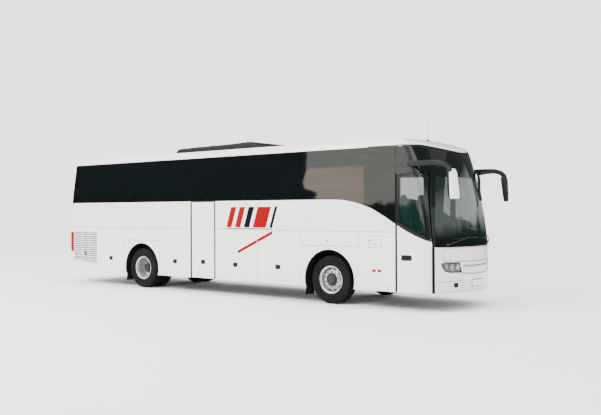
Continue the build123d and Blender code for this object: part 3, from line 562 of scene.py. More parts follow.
def tree_of(names):
    verts, faces = [], []
    for n in names:
        me = NODES[n].data
        off = len(verts)
        verts += [v.co.copy() for v in me.vertices]
        faces += [[off + i for i in p.vertices] for p in me.polygons]
    return BVHTree.FromPolygons(verts, faces)


SKIN_NODES = ["side_wall_right", "side_wall_left", "lower_panels_right", "lower_panels_left", "side_glass_right", "side_glass_left", "roof",
              "rear_wall", "rear_window", "engine_lid", "tail_lamps", "front_panel", "front_flap", "headlamps", "front_bumper", "windscreen",
              "front_frame", "front_door", "front_door_glass", "middle_door"]
SKIN = tree_of(SKIN_NODES)


def cast(origin, direction, fallback=None):
    p, n, _, _ = SKIN.ray_cast(Vector(origin), Vector(direction).normalized())
    if p is None:
        return fallback
    if n.dot(Vector(direction)) > 0:
        n = -n
    return p, n


def nose(y, z):
    """Point and normal on the front of the coach at (y, z)."""
    got = cast((FA + 6.0, y, z), (-1, 0, 0))
    for dy in (0.004, 0.008, 0.016):
        if got and got[0].x > FA + 1.9:
            break
        got = cast((FA + 6.0, y - math.copysign(dy, y), z + 0.003), (-1, 0, 0))
    p, n = got
    return p.copy(), n.copy()


def side(X, z, s=-1):
    """Point and normal on the side of the coach, X from the front axle."""
    if z < 1.58 and X < 2.0:
        return Vector((X + FA, s * HALF, z)), Vector((0, s, 0))
    got = cast((X + FA, s * 4.0, z), (0, -s, 0), (Vector((X + FA, s * HALF, z)), Vector((0, s, 0))))
    return got[0].copy(), got[1].copy()


def tail(y, z):
    got = cast((-20.0, y, z), (1, 0, 0), (Vector((FA - 9.298, y, z)), Vector((-1, 0, 0))))
    return got[0].copy(), got[1].copy()


def along(fn, pts, step_len=0.05):
    """Samples of a surface along a polyline in its own two numbers."""
    out = []
    for k, (a, b) in enumerate(zip(pts, pts[1:])):
        n = max(1, int(math.hypot(b[0] - a[0], b[1] - a[1]) / step_len))
        for i in range(n):
            t = i / n
            out.append(fn(a[0] + (b[0] - a[0]) * t, a[1] + (b[1] - a[1]) * t))
    out.append(fn(*pts[-1]))
    return out


def quad(fn, c, lo=(0, 0), hi=(1, 1)):
    """A bilinear map onto a surface between four corners (a, b, c, d), given as its own two numbers."""
    def f(u, v):
        a, b, d, e = c
        x = (a[0] * (1 - u) + b[0] * u) * (1 - v) + (e[0] * (1 - u) + d[0] * u) * v
        y = (a[1] * (1 - u) + b[1] * u) * (1 - v) + (e[1] * (1 - u) + d[1] * u) * v
        return fn(x, y)
    return f


# ------------------------------------------------------- CAD nodes' finish
def dress(node, mats, rule=None, angle=32.0):
    """Give a CAD node its materials; rule(centre, normal) picks one for each face."""
    o = NODES[node]
    me = o.data
    me.materials.clear()
    for m in (mats if isinstance(mats, (list, tuple)) else [mats]):
        me.materials.append(M[m])
    for p in me.polygons:
        p.use_smooth = True
        p.material_index = rule(p.center, p.normal) if rule else 0
    me.set_sharp_from_angle(angle=math.radians(angle))


def outer_side(c, n):
    """0 on the outside face, 1 on the edges, 2 on the inside face."""
    s = 1 if c.y > 0 else -1
    if n.y * s > 0.5 and abs(c.y) > HALF - 0.012:
        return 0
    if n.y * s < -0.5:
        return 2
    return 1


def wall_rule(c, n):
    s = 1 if c.y > 0 else -1
    if abs(c.y) > HALF - 0.03 and n.y * s > 0.3:
        return 0
    if n.y * s < -0.5:
        return 2
    return 1


for n in ("service_flap_right", "rear_luggage_flap_right", "middle_luggage_flap_right", "front_luggage_flap_right", "fuel_flap",
          "service_flap_left", "rear_luggage_flap_left", "middle_luggage_flap_left", "front_luggage_flap_left"):
    dress(n, ["white", "seam", "liner"], outer_side)
for n in ("lower_panels_right", "lower_panels_left"):
    dress(n, ["white", "seam", "liner"], lambda c, nr: 0 if (nr.y * (1 if c.y > 0 else -1) > 0.3) else (2 if nr.y * (1 if c.y > 0 else -1) < -0.5 else
                                                                                                      (0 if c.x > FA + 2.0 else 1)))
for n in ("side_wall_right", "side_wall_left"):
    dress(n, ["door_paint", "black_rubber", "liner"], wall_rule)
dress("middle_door", ["white", "black_rubber", "liner"], outer_side)
dress("front_door", ["door_paint", "black_rubber", "liner"],
      lambda c, nr: 0 if nr.y < -0.25 else (2 if nr.y > 0.5 else 1))
dress("side_glass_right", "dark_glass")
dress("side_glass_left", "left_glass")
dress("rear_window", "rear_glass")
dress("windscreen", "screen")
dress("front_door_glass", "door_glass")
dress("front_frame", ["black_gloss", "black_rubber"], lambda c, nr: 0)
# painted shade: the nose's panels take the darker copy of the white paint
for n in ("front_panel", "front_flap", "front_bumper"):
    dress(n, ["white_nose_painted_shade", "seam", "liner"], lambda c, nr: 0 if nr.x > 0.15 or abs(nr.y) > 0.7 and abs(c.y) > 1.1 else (2 if nr.x < -0.3 else 1))
dress("roof", ["roof_paint", "headliner"], lambda c, nr: 1 if nr.z < -0.2 and c.z < 3.5 else 0)
dress("rear_wall", ["white", "liner"], lambda c, nr: 1 if nr.x > 0.5 else 0)
dress("engine_lid", ["white", "seam", "liner"], lambda c, nr: 0 if nr.x < -0.4 else (2 if nr.x > 0.5 else 1))
dress("tail_lamps", "red_lens")
dress("headlamps", "lamp_glass")
for n in ("cabin_floor", "wall_rails", "hold_floor", "bulkheads", "frame_rails", "driver_platform", "middle_steps"):
    dress(n, ["chassis", "carpet", "hold_mat"],
          lambda c, nr: 1 if nr.z > 0.7 and c.z > 1.0 else (2 if nr.z > 0.7 and c.z < 0.6 else 0))
dress("engine_block", "engine")
for n in ("front_axle", "rear_axle", "knuckle_right", "knuckle_left"):
    dress(n, "iron")
for n in ("front_door_arm", "middle_door_arm"):
    dress(n, "silver_trim")
dress("antenna", "black_matt")
dress("steering_wheel", "dash")
dress("dashboard", "dash")


# ------------------------------------------------------------------- wheels
def tyre(name, centres, x, body, node, s):
    """Ribbed coach tyres with moulded sidewalls; centres are each tyre's middle, s is outward."""
    pc = Piece(name, "tyre")
    half = [(0.2890, 0.112), (0.2960, 0.1195), (0.3060, 0.1245), (0.3140, 0.1255), (0.3180, 0.1285), (0.3260, 0.1315), (0.3420, 0.1365), (0.3500, 0.1385),
            (0.3520, 0.1402), (0.3570, 0.1406), (0.3590, 0.1398), (0.3800, 0.1440), (0.4050, 0.1462), (0.4300, 0.1460), (0.4500, 0.1444), (0.4530, 0.1452),
            (0.4580, 0.1448), (0.4610, 0.1432), (0.4760, 0.1390), (0.4880, 0.1350), (0.4960, 0.1320), (0.5030, 0.1288), (0.5110, 0.1240), (0.5150, 0.1160)]
    tread = []
    for g in (0.0935, 0.0570, 0.0195):     # a groove either side of each of these, mirrored
        tread += [(0.5190 - 0.1 * (g - 0.02) ** 2, g + 0.0068), (0.5060, g + 0.0052), (0.5060, g - 0.0052), (0.5196 - 0.1 * (g - 0.02) ** 2, g - 0.0068)]
    one = half + tread
    prof = one + [(r, -o) for r, o in reversed(one)]
    shoulder = set(j for j, (r, o) in enumerate(prof) if r > 0.502 and abs(o) > 0.099)
    edge = set(j for j, (r, o) in enumerate(prof) if r > 0.5185)

    def wob(i, j):
        if j in shoulder and i % 3 == 0:
            return -0.0065
        if j in edge and i % 6 == 1:
            return -0.003
        return 0.0
    for c in centres:
        pc.lathe(prof, (x, c, AZ), s, seg=132, wobble=wob, closed=True)
    return pc.done(body, angle=38, replaces=(node,))


def holes(mesh, cutters):
    """The mesh less round holes, cut once and kept as a plain mesh."""
    a = bpy.data.objects.new("cut_a", mesh)
    b = bpy.data.objects.new("cut_b", cutters)
    for o in (a, b):
        bpy.context.scene.collection.objects.link(o)
    md = a.modifiers.new("cut", "BOOLEAN")
    md.operation, md.object, md.solver = "DIFFERENCE", b, "EXACT"
    dg = bpy.context.evaluated_depsgraph_get()
    out = bpy.data.meshes.new_from_object(a.evaluated_get(dg))
    bpy.data.objects.remove(a)
    bpy.data.objects.remove(b)
    return out


def rim_barrel(pc, x, c, s, m=0, inner=1):
    """Flanges and well of a disc wheel, from the outside flange to the inside one."""
    prof = [(0.2600, 0.112), (0.2640, 0.1190), (0.2700, 0.1240), (0.2860, 0.1290), (0.2950, 0.1340), (0.3005, 0.1335), (0.3025, 0.1295), (0.3010, 0.1260),
            (0.2940, 0.1240), (0.2900, 0.1180), (0.2890, 0.0800), (0.2780, 0.0600), (0.2780, -0.0500), (0.2880, -0.0900), (0.2900, -0.1180),
            (0.3010, -0.1260), (0.3025, -0.1310), (0.2990, -0.1340), (0.2860, -0.1290), (0.2760, -0.1200), (0.2640, -0.1050), (0.2600, -0.0600),
            (0.2590, 0.0600)]
    pc.lathe(prof, (x, c, AZ), s, seg=120, m=m, closed=True)


def nuts(pc, x, c, s, off, count=10, pcd=0.1675, m=1, size=0.0165, high=0.030):
    """Hexagon nuts on studs, with a washer under each."""
    for k in range(count):
        a = 2 * math.pi * (k + 0.5) / count
        cx, cz = x + pcd * math.cos(a), AZ + pcd * math.sin(a)

        def ring(r, o, n, ph=0.0):
            return [Vector((cx + r * math.cos(2 * math.pi * i / n + ph), c + s * o, cz + r * math.sin(2 * math.pi * i / n + ph))) for i in range(n)]
        pc.grid([ring(0.022, off - 0.004, 18), ring(0.022, off + 0.004, 18), ring(0.020, off + 0.005, 18)], m, close_v=True, caps=True)
        pc.grid([ring(size, off + 0.003, 6, a), ring(size, off + high - 0.004, 6, a), ring(size * 0.84, off + high, 6, a)], m, close_v=True, caps=True)
        pc.grid([ring(0.0095, off + high - 0.002, 12), ring(0.0095, off + high + 0.011, 12), ring(0.007, off + high + 0.013, 12)], m, close_v=True, caps=True)


def disc(profile, x, c, s, hole_r, hole_at, n_holes, hole_off):
    """A dished wheel disc turned from a closed profile, with round hand holes."""
    pc = Piece("disc", "rim")
    pc.lathe(profile, (x, c, AZ), s, seg=120, closed=True)
    me = bpy.data.meshes.new("disc")
    pc.bm.to_mesh(me)
    pc.bm.free()
    cut = bmesh.new()
    for k in range(n_holes):
        a = 2 * math.pi * k / n_holes
        mt = Matrix.Translation((x + hole_at * math.cos(a), c + s * hole_off, AZ + hole_at * math.sin(a))) @ Matrix.Rotation(math.pi / 2, 4, "X")
        bmesh.ops.create_cone(cut, cap_ends=True, segments=20, radius1=hole_r, radius2=hole_r, depth=0.14, matrix=mt)
    cm = bpy.data.meshes.new("cutters")
    cut.to_mesh(cm)
    cut.free()
    return holes(me, cm)


def wheels():
    for s, name in ((-1, "right"), (1, "left")):
        x, c = FA, s * 1.075
        tyre("tyre_front_" + name, [c], x, "front_wheel_" + name, "front_tyre_" + name, s)
        pc = Piece("rim_front_" + name, "rim", "nut", "hub", "rim_shade")
        rim_barrel(pc, x, c, s)
        # convex disc: welded into the well, bulging out to the nut ring
        outer = [(0.2595, 0.020), (0.2560, 0.034), (0.2440, 0.052), (0.2260, 0.070), (0.2080, 0.086), (0.1960, 0.0925), (0.1860, 0.0940), (0.1440, 0.0940),
                 (0.1400, 0.0915), (0.1400, 0.0800), (0.1860, 0.0800), (0.2060, 0.0740), (0.2340, 0.0440), (0.2480, 0.0160), (0.2560, 0.0060), (0.2595, 0.0080)]
        me = disc(outer, x, c, s, 0.0215, 0.2240, 10, 0.06)
        pc.bm.from_mesh(me)
        nuts(pc, x, c, s, 0.0940)
        # hub: bearing cap with a flange and a raised lid
        hub = [(0.1390, 0.086), (0.1390, 0.0960), (0.1360, 0.0990), (0.1180, 0.1000), (0.1150, 0.1030), (0.1120, 0.1220), (0.1060, 0.1290), (0.0900, 0.1320),
               (0.0860, 0.1370), (0.0820, 0.1410), (0.0600, 0.1440), (0.0300, 0.1455), (0.0001, 0.1460)]
        pc.lathe(hub, (x, c, AZ), s, seg=72, m=2)
        for k in range(8):
            a = 2 * math.pi * k / 8
            q = Vector((x + 0.125 * math.cos(a), c + s * 0.100, AZ + 0.125 * math.sin(a)))
            pc.tube([q, q + Vector((0, s * 0.007, 0))], [0.008, 0.0065], 6, m=2, up=Vector((1, 0, 0)))
        # brake drum seen through the hand holes
        pc.lathe([(0.2480, -0.0900), (0.2480, 0.0000), (0.2300, 0.0060), (0.1000, 0.0060), (0.1000, -0.0120), (0.2200, -0.0120), (0.2350, -0.0900)], (x, c, AZ), s,
                 seg=72, m=2, closed=True)
        # valve stem
        a = 0.35
        q = Vector((x + 0.246 * math.cos(a), c + s * 0.058, AZ + 0.246 * math.sin(a)))
        pc.tube([q, q + Vector((0, s * 0.045, 0)), q + Vector((-0.012, s * 0.060, -0.006))], [0.0045, 0.0042, 0.0055], 8, m=2, up=Vector((1, 0, 0)))
        pc.done("front_wheel_" + name, angle=30, replaces=("front_rim_" + name,))

        x = RA
        tyre("tyres_rear_" + name, [s * 1.090, s * 0.757], x, "rear_wheels_" + name, "rear_tyres_" + name, s)
        pc = Piece("rims_rear_" + name, "rim", "nut", "hub", "rim_shade")
        for c, f in ((s * 1.090, s), (s * 0.757, -s)):
            rim_barrel(pc, x, c, f)
        c = s * 1.090
        # deep dish: the disc sits far inside, so the barrel shows
        dish = [(0.2595, -0.070), (0.2540, -0.092), (0.2420, -0.116), (0.2280, -0.134), (0.2100, -0.1440), (0.1920, -0.1470), (0.1440, -0.1470), (0.1410, -0.1500),
                (0.1410, -0.1640), (0.1980, -0.1640), (0.2180, -0.1600), (0.2380, -0.1440), (0.2520, -0.1200), (0.2595, -0.0960)]
        me = disc(dish, x, c, s, 0.0215, 0.2260, 10, -0.14)
        pc.bm.from_mesh(me)
        # the inner wheel's disc, back to back with it, in the darker copy of the rim paint: painted shade for the shade
        # between the twin wheels
        pc.lathe([(0.2595, -0.255), (0.2400, -0.205), (0.2100, -0.1780), (0.1420, -0.1750), (0.1420, -0.1900), (0.2050, -0.1930), (0.2350, -0.2250), (0.2520, -0.2700)],
                 (x, c, AZ), s, seg=96, m=3, closed=True)
        nuts(pc, x, c, s, -0.1470, m=1)
        hub = [(0.1400, -0.1640), (0.1400, -0.1420), (0.1360, -0.1380), (0.1240, -0.1360), (0.1200, -0.1300), (0.1180, -0.0500), (0.1150, -0.0430), (0.1090, -0.0400),
               (0.1060, -0.0370), (0.1050, 0.0050), (0.1010, 0.0110), (0.0800, 0.0130), (0.0760, 0.0180), (0.0500, 0.0200), (0.0001, 0.0200)]
        pc.lathe(hub, (x, c, AZ), s, seg=72, m=2)
        for k in range(12):
            a = 2 * math.pi * k / 12
            q = Vector((x + 0.0900 * math.cos(a), c + s * 0.0115, AZ + 0.0900 * math.sin(a)))
            pc.tube([q, q + Vector((0, s * 0.009, 0))], [0.0085, 0.0070], 6, m=2, up=Vector((1, 0, 0)))
        pc.lathe([(0.2050, -0.3600), (0.2050, -0.1960), (0.1700, -0.1920), (0.0600, -0.1920), (0.0600, -0.2100), (0.1900, -0.2100), (0.1950, -0.3600)], (x, c, AZ), s,
                 seg=72, m=2, closed=True)
        for a in (0.3, 0.62):
            q = Vector((x + 0.245 * math.cos(a), c - s * 0.085, AZ + 0.245 * math.sin(a)))
            pc.tube([q, q + Vector((0, s * 0.07, 0)), q + Vector((-0.01, s * 0.12, -0.006))], [0.0045, 0.0042, 0.0055], 8, m=2, up=Vector((1, 0, 0)))
        pc.done("rear_wheels_" + name, angle=30, replaces=("rear_rims_" + name,))


wheels()


# ------------------------------------------------------------ side details
def seams():
    """Sealed joints drawn in the fixed panels, and black rubber round the panes and doors."""
    pc = Piece("panel_seams", "seam", "black_rubber", "black_gloss")
    for s in (-1, 1):
        def sd(X, z, s=s):
            return side(X, z, s)
        w = 0.0090
        # panel line along the tops of the luggage flaps
        runs = [(-9.10, -7.806), (-6.797, -5.376), (-0.752, 1.655 if s < 0 else 1.90)]
        for a, b in runs:
            pc.ribbon(along(sd, [(a, 1.5665), (b, 1.5665)], 0.3), w, 0, lift=0.0006)
        # flap over each wheel housing
        for X0, X1, zb in ((-6.801, -5.372, 1.25), (-0.745, 0.769, 1.25)):
            pc.ribbon(along(sd, [(X0 + 0.01, zb), (X1 - 0.01, zb)], 0.3), w, 0, lift=0.0006)
        pc.ribbon(along(sd, [(0.769, 1.25), (0.769, 1.562)], 0.3), w, 0, lift=0.0006)
        # lower split of the panels beside the wheels and at the grille
        pc.ribbon(along(sd, [(-5.440, 0.40), (-5.440, 1.245)], 0.3), w * 0.6, 0, lift=0.0005)
        # belt rubber under the panes
        pts = [(-9.06, BELT(-9))] + [(X / 100.0, BELT(X / 100.0)) for X in range(0, 166 if s < 0 else 246, 6)]
        pc.ribbon(along(sd, [(a, b + 0.002) for a, b in pts], 0.4), 0.014, 1, lift=0.0012)
        # rubber in the joints between the panes
        for X in (-6.650, -4.543, -2.700, -0.738):
            pc.ribbon(along(sd, [(X, 2.25), (X, 3.12), (X, 3.30)], 0.06), 0.011, 1, lift=0.0004, depth=0.010)
    # upright joint over the front door's rear edge
    pc.ribbon(along(lambda X, z: side(X, z, -1), [(1.657, 2.76), (1.657, 3.20), (1.657, 3.44)], 0.05), 0.012, 1, lift=0.0008, depth=0.008)
    # body edge between lower rear corner panel and tail
    for s in (-1, 1):
        pc.ribbon(along(lambda X, z: side(X, z, s), [(-9.05, 0.56), (-9.05, 2.20)], 0.3), 0.006, 0, lift=0.0005)
    pc.done(ROOT, angle=40)


seams()


def rubber_frame(name, pts, width, body, m="black_rubber", fn=None, lift=0.0015, closed=True, depth=0.01):
    pc = Piece(name, m)
    pc.ribbon(along(fn or (lambda X, z: side(X, z, -1)), pts, 0.06), width, 0, lift=lift, depth=depth, closed=False)
    return pc.done(body, angle=40)


# thick rubber edges of the doors
rubber_frame("middle_door_seal", [(-4.197, 0.372), (-4.197, 2.232), (-3.418, 2.232), (-3.418, 0.372)], 0.016, "middle_door")
rubber_frame("middle_doorway_seal_rear", [(-4.237, 0.372), (-4.237, 2.235)], 0.013, ROOT)
rubber_frame("middle_doorway_seal_front", [(-3.387, 0.372), (-3.387, 2.235)], 0.013, ROOT)
rubber_frame("nose_edge_seal", [(2.470, 0.372), (2.470, 1.270)], 0.026, ROOT, fn=lambda X, z: side(max(X, 2.470), z, -1), lift=0.002)
rubber_frame("front_doorway_seal", [(1.652, 0.372), (1.652, 1.700), (1.652, 2.745)], 0.016, ROOT)


def door_edge():
    """Rubber along the front door's two upright edges, and black print round its pane."""
    pc = Piece("front_door_seal", "black_rubber", "black_gloss")

    def sd(X, z):
        return side(X, z, -1)
    pc.ribbon(along(sd, [(1.682, 0.376), (1.682, 1.2), (1.682, 2.728)], 0.06), 0.016, 0, lift=0.0012, depth=0.01)
    pc.ribbon(along(sd, [(2.4365, 0.376), (2.4365, 1.295)], 0.06), 0.006, 0, lift=0.0012, depth=0.01)
    # black print round the pane: rear, top, front, and along the belt line
    inner = [(X / 100.0, BELT(X / 100.0) + 0.028) for X in range(168, 243, 5)]
    pc.ribbon(along(sd, inner, 0.05), 0.052, 1, lift=0.0012, depth=0.006)
    pc.ribbon(along(sd, [(1.705, 1.745), (1.705, 2.700)], 0.06), 0.062, 1, lift=0.0010, depth=0.006)
    pc.ribbon(along(sd, [(1.690, 2.712), (2.268, 2.712)], 0.06), 0.036, 1, lift=0.0010, depth=0.006)
    front = [(2.400, 1.440), (2.372, 1.70), (2.345, 1.95), (2.318, 2.20), (2.290, 2.45), (2.262, 2.700)]
    pc.ribbon(along(sd, [(a - 0.012, b) for a, b in front], 0.06), 0.085, 1, lift=0.0010, depth=0.006)
    return pc.done("front_door", angle=40)


door_edge()

# stop over the front door's head, inboard of the leaf
head = Piece("front_doorway_head_stop", "black_rubber")
run = [(1.66, -1.155), (2.02, -1.150), (2.12, -1.05), (2.18, -0.95), (2.21, -0.85), (2.22, -0.78)]
head.grid([[Vector((FA + a + u, b, z)) for u, z in ((0.0, 2.700), (0.0, 2.800), (-0.008, 2.800), (-0.008, 2.700))] if i > 1 else
           [Vector((FA + a, b + u, z)) for u, z in ((0.0, 2.700), (0.0, 2.800), (0.008, 2.800), (0.008, 2.700))] for i, (a, b) in enumerate(run)],
          0, close_v=True, caps=True)
head.done(ROOT)


def flap_handle(name, X, z, body, s=-1):
    """A dark square cup with a folding T handle, let into its panel."""
    pc = Piece(name, "mirror_arm", "black_rubber", "hub")
    y = s * HALF
    w = 0.058
    x = X + FA
    ring = []
    for r, o in ((w, -0.002), (w, 0.0022), (w - 0.002, 0.0032), (w - 0.008, 0.0032), (w - 0.010, 0.0018), (w - 0.012, 0.0014)):
        row = []
        for i in range(32):
            a = 2 * math.pi * i / 32
            c, sn = math.cos(a), math.sin(a)
            k = 1.0 / max(abs(c) ** 5 + abs(sn) ** 5, 1e-9) ** 0.2
            row.append(Vector((x + r * 1.28 * c * k, y + s * o, z + r * 0.92 * sn * k)))
        ring.append(row)
    pc.grid(ring, 0, close_v=True)
    pc.grid([ring[-1], [Vector((x + (q.x - x) * 0.1, y + s * 0.0016, z + (q.z - z) * 0.1)) for q in ring[-1]]], 1, close_v=True, caps=True)
    pc.box((x - 0.034, y + s * 0.0005, z + 0.006), (x + 0.034, y + s * 0.0070, z + 0.026), 0, r=0.0028)
    pc.lathe([(0.013, 0.0), (0.013, 0.006), (0.011, 0.0085), (0.0055, 0.009), (0.005, 0.0070), (0.0001, 0.0068)], (x, y, z - 0.016), s, seg=24, m=2)
    return pc.done(body)


def round_lock(pc, X, z, s=-1, r=0.016, m=0):
    pc.lathe([(r + 0.004, -0.001), (r + 0.004, 0.002), (r + 0.002, 0.0038), (r - 0.002, 0.0038), (r - 0.003, 0.0018), (r * 0.4, 0.0018), (r * 0.35, 0.0003),
              (0.0001, 0.0003)], (X + FA, s * HALF, z), s, seg=28, m=m)


for n, X, z in (("service_flap_right", -7.353, 0.739), ("rear_luggage_flap_right", -4.806, 0.742), ("middle_luggage_flap_right", -2.730, 0.737),
                ("front_luggage_flap_right", -1.425, 0.740)):
    flap_handle("handle_" + n, X, z, n, -1)
for n, X, z in (("service_flap_left", -7.301, 0.739), ("rear_luggage_flap_left", -4.616, 0.742), ("middle_luggage_flap_left", -3.084, 0.740),
                ("front_luggage_flap_left", -1.532, 0.740)):
    flap_handle("handle_" + n, X, z, n, 1)
flap_handle("handle_middle_door", -3.803, 0.762, "middle_door", -1)

locks = Piece("panel_locks", "black_matt")
for s in (-1, 1):
    round_lock(locks, -6.065, 1.360, s)
    round_lock(locks, -0.052, 1.364, s)
locks.done(ROOT)
lk = Piece("fuel_flap_lock", "black_matt", "seam")
round_lock(lk, 1.045, 1.387, -1, 0.014)
lk.done("fuel_flap")


def door_handle():
    """Recessed pull handle of the front door, with its own lock."""
    pc = Piece("front_door_handle", "mirror_arm", "black_rubber", "hub")
    x0, x1, z0, z1 = 1.783 + FA, 2.026 + FA, 1.000, 1.113
    cx, cz = (x0 + x1) / 2, (z0 + z1) / 2
    a, b = (x1 - x0) / 2, (z1 - z0) / 2
    rows = []
    for k, o in ((1.0, -0.003), (1.0, 0.0030), (0.97, 0.0060), (0.90, 0.0060), (0.86, 0.0010), (0.5, 0.0006), (0.02, 0.0005)):
        row = []
        for i in range(48):
            t = 2 * math.pi * i / 48
            c, sn = math.cos(t), math.sin(t)
            q = 1.0 / max(abs(c) ** 6 + abs(sn) ** 6, 1e-9) ** (1 / 6)
            ins = (1 - k) * b
            row.append(Vector((cx + (a - ins) * c * q if k > 0.1 else cx + a * 0.02 * c, -HALF - o, cz + (b - ins) * sn * q if k > 0.1 else cz + b * 0.02 * sn)))
        rows.append(row)
    pc.grid(rows, 0, close_v=True, caps=True)
    # the pull: a bar across the cup
    bar = [Vector((cx - 0.085, -HALF - 0.004, cz + 0.012)), Vector((cx - 0.07, -HALF - 0.018, cz + 0.014)), Vector((cx + 0.045, -HALF - 0.018, cz + 0.014)),
           Vector((cx + 0.060, -HALF - 0.004, cz + 0.012))]
    pc.tube(bar, [0.013, 0.0155, 0.0155, 0.013], 16, m=1, flat=0.55, up=Vector((0, 0, 1)))
    pc.lathe([(0.014, 0.0), (0.014, 0.008), (0.011, 0.010), (0.005, 0.010), (0.004, 0.008), (0.0001, 0.008)], (cx + 0.090, -HALF, cz - 0.012), -1, seg=24, m=2)
    return pc.done("front_door")


door_handle()


def side_markers():
    """Two small red plates by the front door, amber side lamps along the skirt."""
    for X in (1.139, 1.267):
        pc = Piece("red_plate_%d" % int(X * 1000), "red", "black_matt")
        pc.patch(quad(lambda X_, z_: side(X_, z_, -1), [(X - 0.042, 0.745), (X + 0.042, 0.745), (X + 0.042, 0.795), (X - 0.042, 0.795)]), 4, 3, 0, lift=0.0022)
        pc.patch(quad(lambda X_, z_: side(X_, z_, -1), [(X - 0.036, 0.768), (X + 0.020, 0.768), (X + 0.020, 0.773), (X - 0.036, 0.773)]), 2, 1, 1, lift=0.0028)
        pc.done(ROOT)
    for s in (-1, 1):
        for i, X in enumerate((-7.62, -4.95, -2.35, 1.45)):
            body = {-1: ("service_flap_right", "rear_luggage_flap_right", "middle_luggage_flap_right", ROOT),
                    1: ("service_flap_left", "rear_luggage_flap_left", "front_luggage_flap_left" if X < -9 else "middle_luggage_flap_left", ROOT)}[s][i]
            pc = Piece("side_lamp_%s_%d" % ("right" if s < 0 else "left", i), "white_lens", "amber_lens")
            if s > 0 and i == 2:
                X = -2.45
            x, z = X + FA, 0.475
            pc.box((x - 0.034, s * (HALF - 0.001), z - 0.011), (x + 0.034, s * (HALF + 0.004), z + 0.011), 0, r=0.003)
            pc.box((x - 0.030, s * (HALF + 0.003), z - 0.008), (x + 0.030, s * (HALF + 0.008), z + 0.008), 1, r=0.003)
            pc.done(body)


side_markers()


def corner_grille():
    """Louvred air grille in each rear corner, with a round reflector low in it."""
    for s, name in ((-1, "right"), (1, "left")):
        pc = Piece("corner_grille_" + name, "white", "grille_shade", "red_lens", "seam")
        x0, x1, z0, z1 = -9.005 + FA, -7.949 + FA, 0.560, 1.450
        y = s * HALF

        def low(x):      # the grille's foot rises towards the tail
            return z0 + (x1 - x) * 0.066
        # shaded backing
        rows = [[Vector((x, y + s * 0.0006, low(x))), Vector((x, y + s * 0.0006, z1))] for x in (x0, (x0 + x1) / 2, x1)]
        pc.grid(rows, 1)
        n = 17
        pitch = (z1 - z0) / n
        for k in range(n):
            zt = z0 + pitch * (k + 0.92)
            zb = zt - pitch * 0.50
            rows = []
            for i in range(7):
                x = x0 + 0.02 + (x1 - x0 - 0.04) * i / 6
                lo = low(x) + 0.012
                b, t = max(zb, lo), max(zt, lo + 0.004)
                rows.append([Vector((x, y, t)), Vector((x, y + s * 0.0030, t)), Vector((x, y + s * 0.0105, b + 0.006)), Vector((x, y + s * 0.0105, b)),
                             Vector((x, y + s * 0.0085, b)), Vector((x, y, b + 0.008))])
            pc.grid(rows, 0, close_v=True, caps=True)
        # frame and two mullions
        fr = [(x0, low(x0)), (x1, low(x1)), (x1, z1), (x0, z1), (x0, low(x0))]
        for (a, b), (c, d) in zip(fr, fr[1:]):
            pc.tube([Vector((a, y + s * 0.004, b)), Vector((c, y + s * 0.004, d))], 0.010, 8, m=0, flat=0.7, up=Vector((0, 0, 1)) if a != c else Vector((1, 0, 0)))
        for f in (0.34, 0.67):
            x = x0 + (x1 - x0) * f
            pc.box((x - 0.007, y, low(x)), (x + 0.007, y + s * 0.0075, z1), 0, r=0.002)
        # reflector
        cx, cz = -8.47 + FA, 0.83
        pc.lathe([(0.050, 0.004), (0.050, 0.0120), (0.047, 0.0150), (0.042, 0.0155), (0.040, 0.0135), (0.0001, 0.0150)], (cx, y, cz), s, seg=40, m=2)
        pc.done(ROOT, angle=30)


corner_grille()


def generic_bars():
    """Plain slanted bars in red and black on the flank, in place of lettering."""
    for s, name in ((-1, "right"), (1, "left")):
        for i, (X, w, z0, z1, m) in enumerate(((-3.02, 0.17, 1.62, 2.10, "red"), (-2.74, 0.17, 1.62, 2.10, "red"), (-2.46, 0.17, 1.62, 2.10, "ink"),
                                               (-2.18, 0.40, 1.62, 2.10, "red"), (-1.67, 0.08, 1.62, 2.10, "ink"))):
            pc = Piece("flank_bar_%s_%d" % (name, i), m)
            k = 0.16
            pc.patch(quad(lambda X_, z_: side(X_, z_, s), [(X, z0), (X + w, z0), (X + w + k, z1), (X + k, z1)]), 4, 4, 0, lift=0.0009, depth=0.001)
            pc.done(ROOT)
        # a slanted line under the bars, in two lengths so that each rides on its own flap
        for X0, X1, flap in ((-2.650, -2.052, "middle_luggage_flap_"), (-2.034, -1.585, "front_luggage_flap_")):
            if s > 0:
                X0, X1, flap = (-2.650, -2.317, "middle_luggage_flap_") if X0 < -2.3 else (-2.299, -1.585, "front_luggage_flap_")
            pc = Piece("flank_slant_%s_%d" % (name, int(-X1 * 1000)), "red")
            za, zb = 1.000 + (X0 + 2.650) * 0.4486, 1.000 + (X1 + 2.650) * 0.4486
            pc.patch(quad(lambda X_, z_: side(X_, z_, s), [(X0, za), (X1, zb), (X1, zb + 0.075), (X0, za + 0.075)]), 6, 2, 0, lift=0.0009, depth=0.001)
            pc.done(flap + name)
        pc = Piece("flank_line_" + name, "ink")
        pc.patch(quad(lambda X_, z_: side(X_, z_, s), [(-3.05, 1.585), (-1.60, 1.585), (-1.592, 1.603), (-3.042, 1.603)]), 8, 1, 0, lift=0.0009, depth=0.001)
        pc.done(ROOT)


generic_bars()


